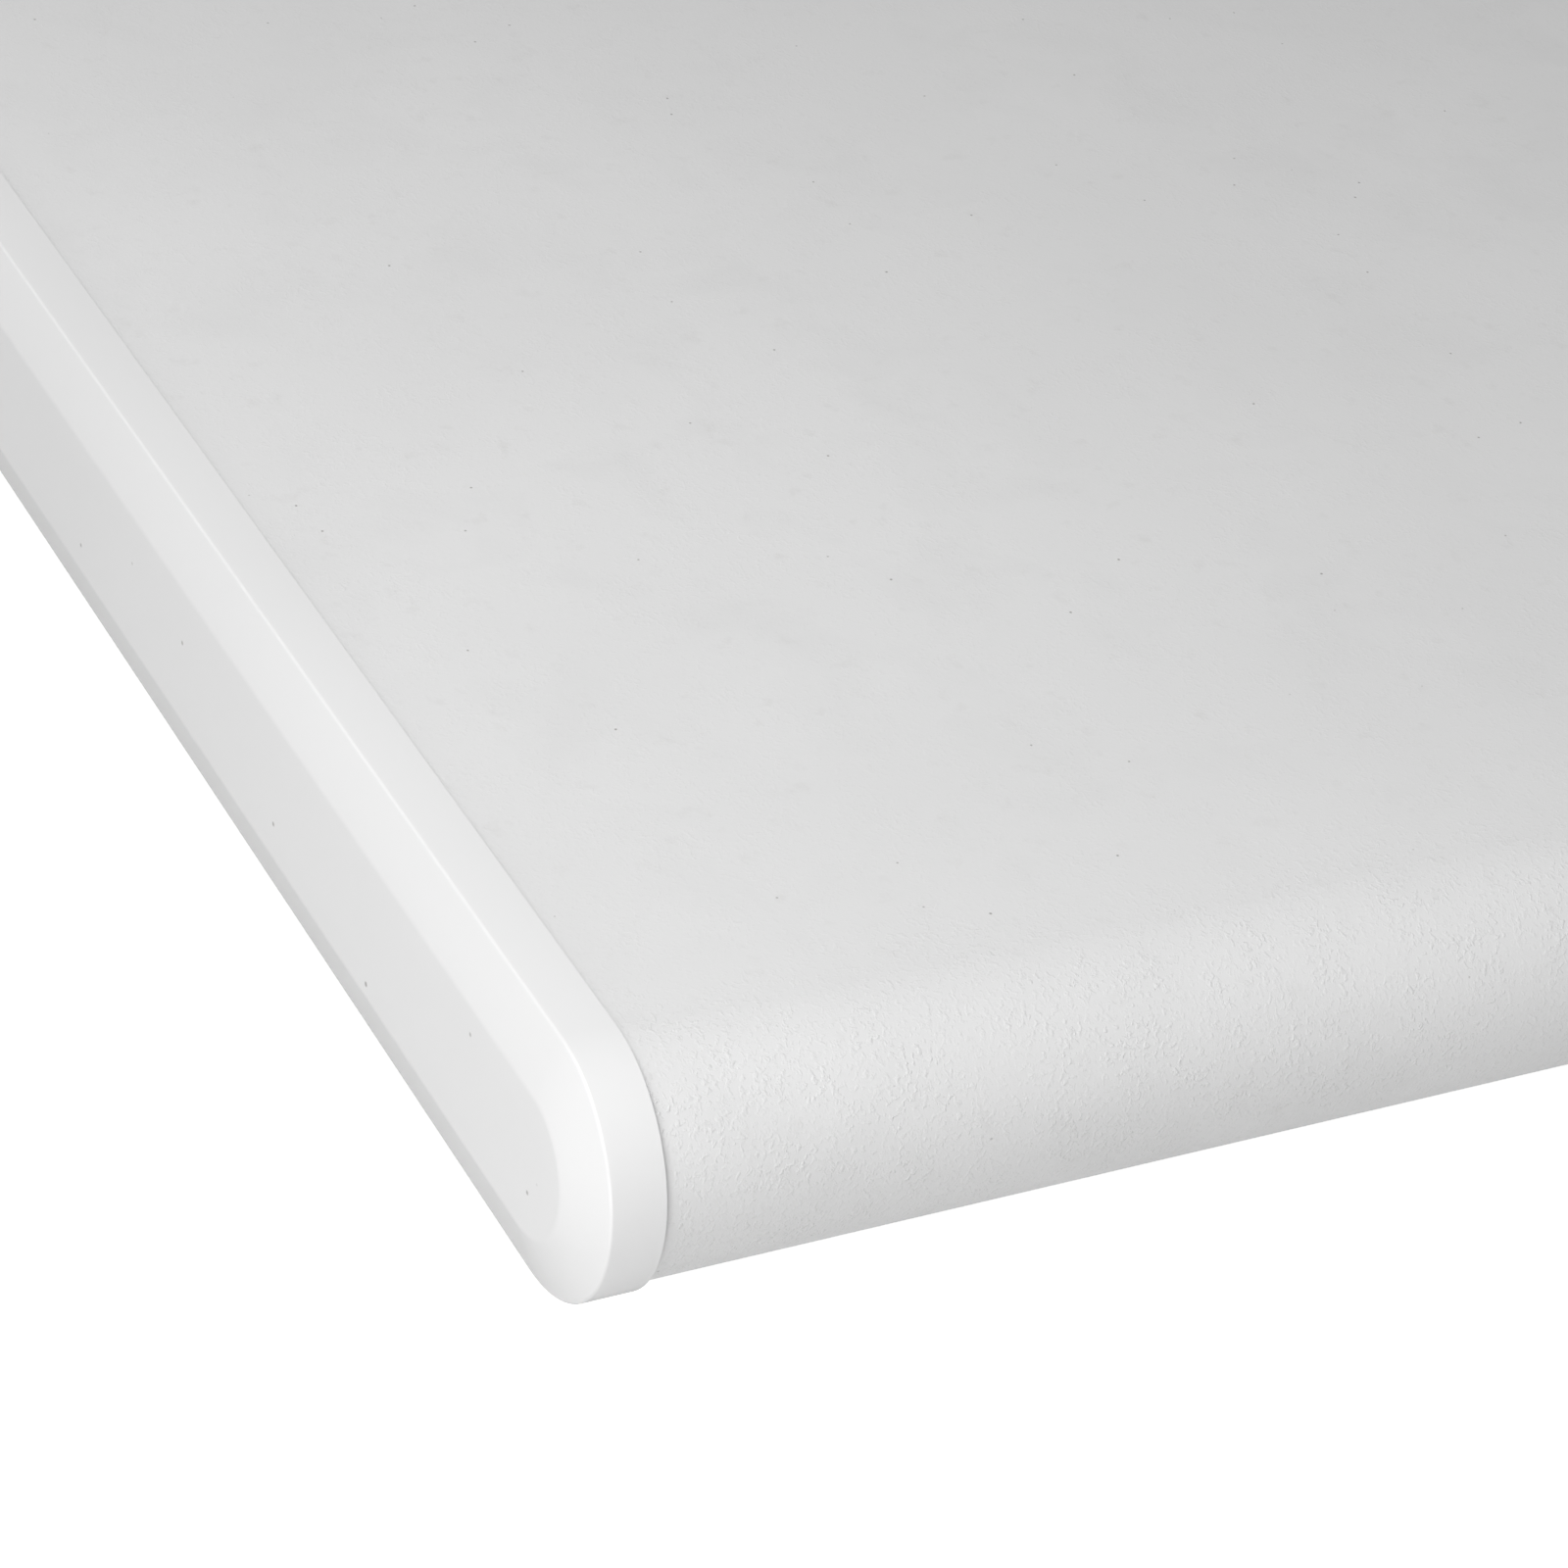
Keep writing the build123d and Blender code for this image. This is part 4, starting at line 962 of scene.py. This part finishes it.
def cap_rows(width, height, seam, outward):
    """Outlines of a cap from its plug's end outwards: the plug, the rim, an arc that turns it into
    the bevel, the bevel, a second arc that turns it level, and the flat face drawn in to a line."""
    steps = [(0.0, -cap_plug_depth, 0.0), (cap_plug_inset, -cap_plug_depth, 1.0),
             (cap_plug_inset, 0.0, 1.0), (0.0, 0.0, 1.0), (0.0, cap_lip, 1.0)]
    run = edge_radius * math.tan((math.pi / 2 - bevel_angle) / 2)
    for turn in np.linspace(0, math.pi / 2 - bevel_angle, 7):
        steps.append((edge_radius * (1 - math.cos(turn)),
                      cap_rim - run + edge_radius * math.sin(turn), 1.0))
    ease = face_radius * math.tan(bevel_angle / 2)
    for turn in np.linspace(bevel_angle, 0, 5):
        steps.append((cap_bevel_width + ease - face_radius * math.sin(turn),
                      cap_rim + cap_bevel_depth - face_radius * (1 - math.cos(turn)), 1.0))
    for share in (0.5, 1.0):
        steps.append((cap_bevel_width + (height / 2 - cap_bevel_width) * share,
                      cap_rim + cap_bevel_depth, 1.0))
    return [(stadium(width - 2 * inset, height - 2 * inset) * size, seam + outward * rise)
            for inset, rise, size in steps]


for node, seam, outward in (("tip_end_cap", low.y, -1), ("butt_end_cap", high.y, 1)):
    cap_low, cap_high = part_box(node)
    cap = make_piece(f"{node}_moulding", [lengthwise(
        cap_rows(cap_high.x - cap_low.x, cap_high.z - cap_low.z, seam, outward), board_middle)],
        "rocker", cap_white, crease=28.0)
    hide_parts(node)
for node in ("tip_cap_screws", "butt_cap_screws"):
    finish_node(node, fastener_steel)


# ---- Board bolts ----
# Four stainless M12 dome-head bolts go down through washers, rubber gaskets, sleeves inside the
# plank and the butt beams. Lock nuts hold them from below.

low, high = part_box("board_bolts")
washer_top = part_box("board_bolt_washers")[1].z
nut_low, nut_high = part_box("board_nuts")
dome_radius, dome_wall, dome_ease = 0.014, 0.001, 0.0004
bolt_radius, bolt_pitch, board_collar, bolt_row_gap = 0.006, 0.00175, 0.003, 0.150
bolt_spots = [(x, y) for x in (low.x + dome_radius, high.x - dome_radius)
              for y in (low.y + dome_radius, high.y - dome_radius)]
dome_turn = np.linspace(0, np.pi / 2, 16)
dome_rise = high.z - washer_top - dome_wall
dome = np.stack([dome_radius * np.cos(dome_turn) ** 0.9,
                 washer_top + dome_wall + dome_rise * np.sin(dome_turn)], axis=1)
dome[-1, 0] = 0.0
bolt_profile = np.concatenate([[(0.0, nut_high.z), (bolt_radius, nut_high.z),
                                (bolt_radius, washer_top), (dome_radius - dome_ease, washer_top),
                                (dome_radius, washer_top + dome_ease)], dome])
bolt_parts, nut_parts = [], []
for spot in bolt_spots:
    bolt_parts += [revolved(bolt_profile, (*spot, 0.0)),
                   threaded(bolt_radius, bolt_pitch, low.z, nut_high.z + thread_overlap,
                            (*spot, 0.0))]
    nut_parts.append(hexagon(nut_high.y - nut_low.y - bolt_row_gap, nut_high.z - nut_low.z,
                             bolt_radius, (*spot, nut_high.z), "Z", -1, board_collar))
bolts = make_piece("dome_bolts", bolt_parts, "rocker", fastener_steel,
                   crease=45.0)
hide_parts("board_bolts")
lock_nuts = make_piece("board_lock_nuts", nut_parts, "rocker", fastener_steel)
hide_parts("board_nuts")
for node in ("board_bolt_washers", "board_nut_washers"):
    finish_node(node, fastener_steel)
finish_node("crush_sleeves", plate_steel)


# ---- Floor, light and camera ----
# A plain pale floor that keeps a soft contact shadow, and a white surround that gives less light
# near the horizon. Four soft lights stand round the tip's corner, and two low ones by the stand.

floor_half = 14.0
floor_mesh = bpy.data.meshes.new("floor")
floor_mesh.from_pydata([(-floor_half, -floor_half, 0), (floor_half, -floor_half, 0),
                        (floor_half, floor_half, 0), (-floor_half, floor_half, 0)], [],
                       [(0, 1, 2, 3)])
floor = bpy.data.objects.new("floor", floor_mesh)
bpy.context.scene.collection.objects.link(floor)
floor_white, tree, shader = new_material(
    "floor_white", Roughness=0.9, Specular_IOR_Level=0.1, Base_Color=(0.85, 0.85, 0.85, 1),
    Emission_Color=(1, 1, 1, 1))
seen = add_node(tree, "ShaderNodeLightPath").outputs["Is Camera Ray"]
tree.links.new(sum_of(tree, "MULTIPLY", seen, 0.62), shader.inputs["Emission Strength"])
floor_mesh.materials.append(floor_white)

scene = bpy.context.scene
scene.view_settings.view_transform = "Standard"
world = bpy.data.worlds.new("surround")
world.use_nodes = True
tree = world.node_tree
sky = tree.nodes["Background"]
sky_height = add_node(tree, "ShaderNodeSeparateXYZ", {
    0: add_node(tree, "ShaderNodeTexCoord").outputs["Generated"]})
sky_light = remap(tree, sky_height.outputs["Z"], 0.0, 1.0, 0.205, 0.52)
sky_seen = add_node(tree, "ShaderNodeMix", {
    "Factor": add_node(tree, "ShaderNodeLightPath").outputs["Is Camera Ray"], 2: sky_light,
    3: 1.0})
tree.links.new(sky_seen.outputs[0], sky.inputs["Strength"])
sky.inputs["Color"].default_value = (1, 1, 1, 1)
scene.world = world

tip_low, tip_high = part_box("tip_end_cap")
corner = Vector((tip_high.x - (tip_high.z - tip_low.z) / 2, tip_low.y, board_middle))


def add_light(name, place, aim, width, height, power, spread=180):
    """A soft rectangular light at a place, turned to face aim."""
    lamp = bpy.data.lights.new(name, "AREA")
    lamp.shape = "RECTANGLE"
    lamp.size, lamp.size_y = width, height
    lamp.energy = power
    lamp.spread = math.radians(spread)
    holder = bpy.data.objects.new(name, lamp)
    scene.collection.objects.link(holder)
    holder.location = place
    holder.rotation_mode = "QUATERNION"
    holder.rotation_quaternion = (place - aim).to_track_quat("Z", "Y")


# Each light: the way to it from the corner, how far it is, its width and height, and its watts
lights = {"key": ((0.05, -0.35, 0.93), 0.90, 0.60, 0.60, 4.1),
          "side": ((0.50, -0.60, 0.62), 1.00, 0.70, 0.70, 3.0),
          "fill": ((0.75, -0.60, -0.05), 1.30, 0.70, 0.70, 4.8),
          "strip": ((-0.68, -0.72, 0.16), 1.20, 0.90, 0.15, 0.8)}
for name, (way, distance, width, height, power) in lights.items():
    add_light(name, corner + distance * Vector(way).normalized(), corner, width, height, power)
stand = Vector((0.0, 0.0, 0.25))
for name, place in (("stand_right", (1.6, 1.2, 0.40)), ("stand_left", (-1.6, 1.0, 0.40))):
    add_light(name, Vector(place), stand, 1.0, 0.3, 2.5, spread=42)

# The camera: the way it looks as three angles in degrees, and its place from the corner
azimuth, elevation, roll = (math.radians(angle) for angle in (58.05, 34.54, 8.77))
camera_place = corner + Vector((0.5811, -0.3220, 0.5423))
away = Vector((math.sin(azimuth) * math.cos(elevation), -math.cos(azimuth) * math.cos(elevation),
               math.sin(elevation)))
level = Vector((math.cos(azimuth), math.sin(azimuth), 0.0))
tilted = math.cos(roll) * level + math.sin(roll) * away.cross(level)
lens = bpy.data.cameras.new("camera")
lens.lens = 114.24
lens.sensor_width = 36.0
lens.clip_start = 0.01
camera = bpy.data.objects.new("camera", lens)
scene.collection.objects.link(camera)
camera.matrix_world = Matrix.Translation(camera_place) @ Matrix(
    (tilted, away.cross(tilted), away)).transposed().to_4x4()
scene.camera = camera
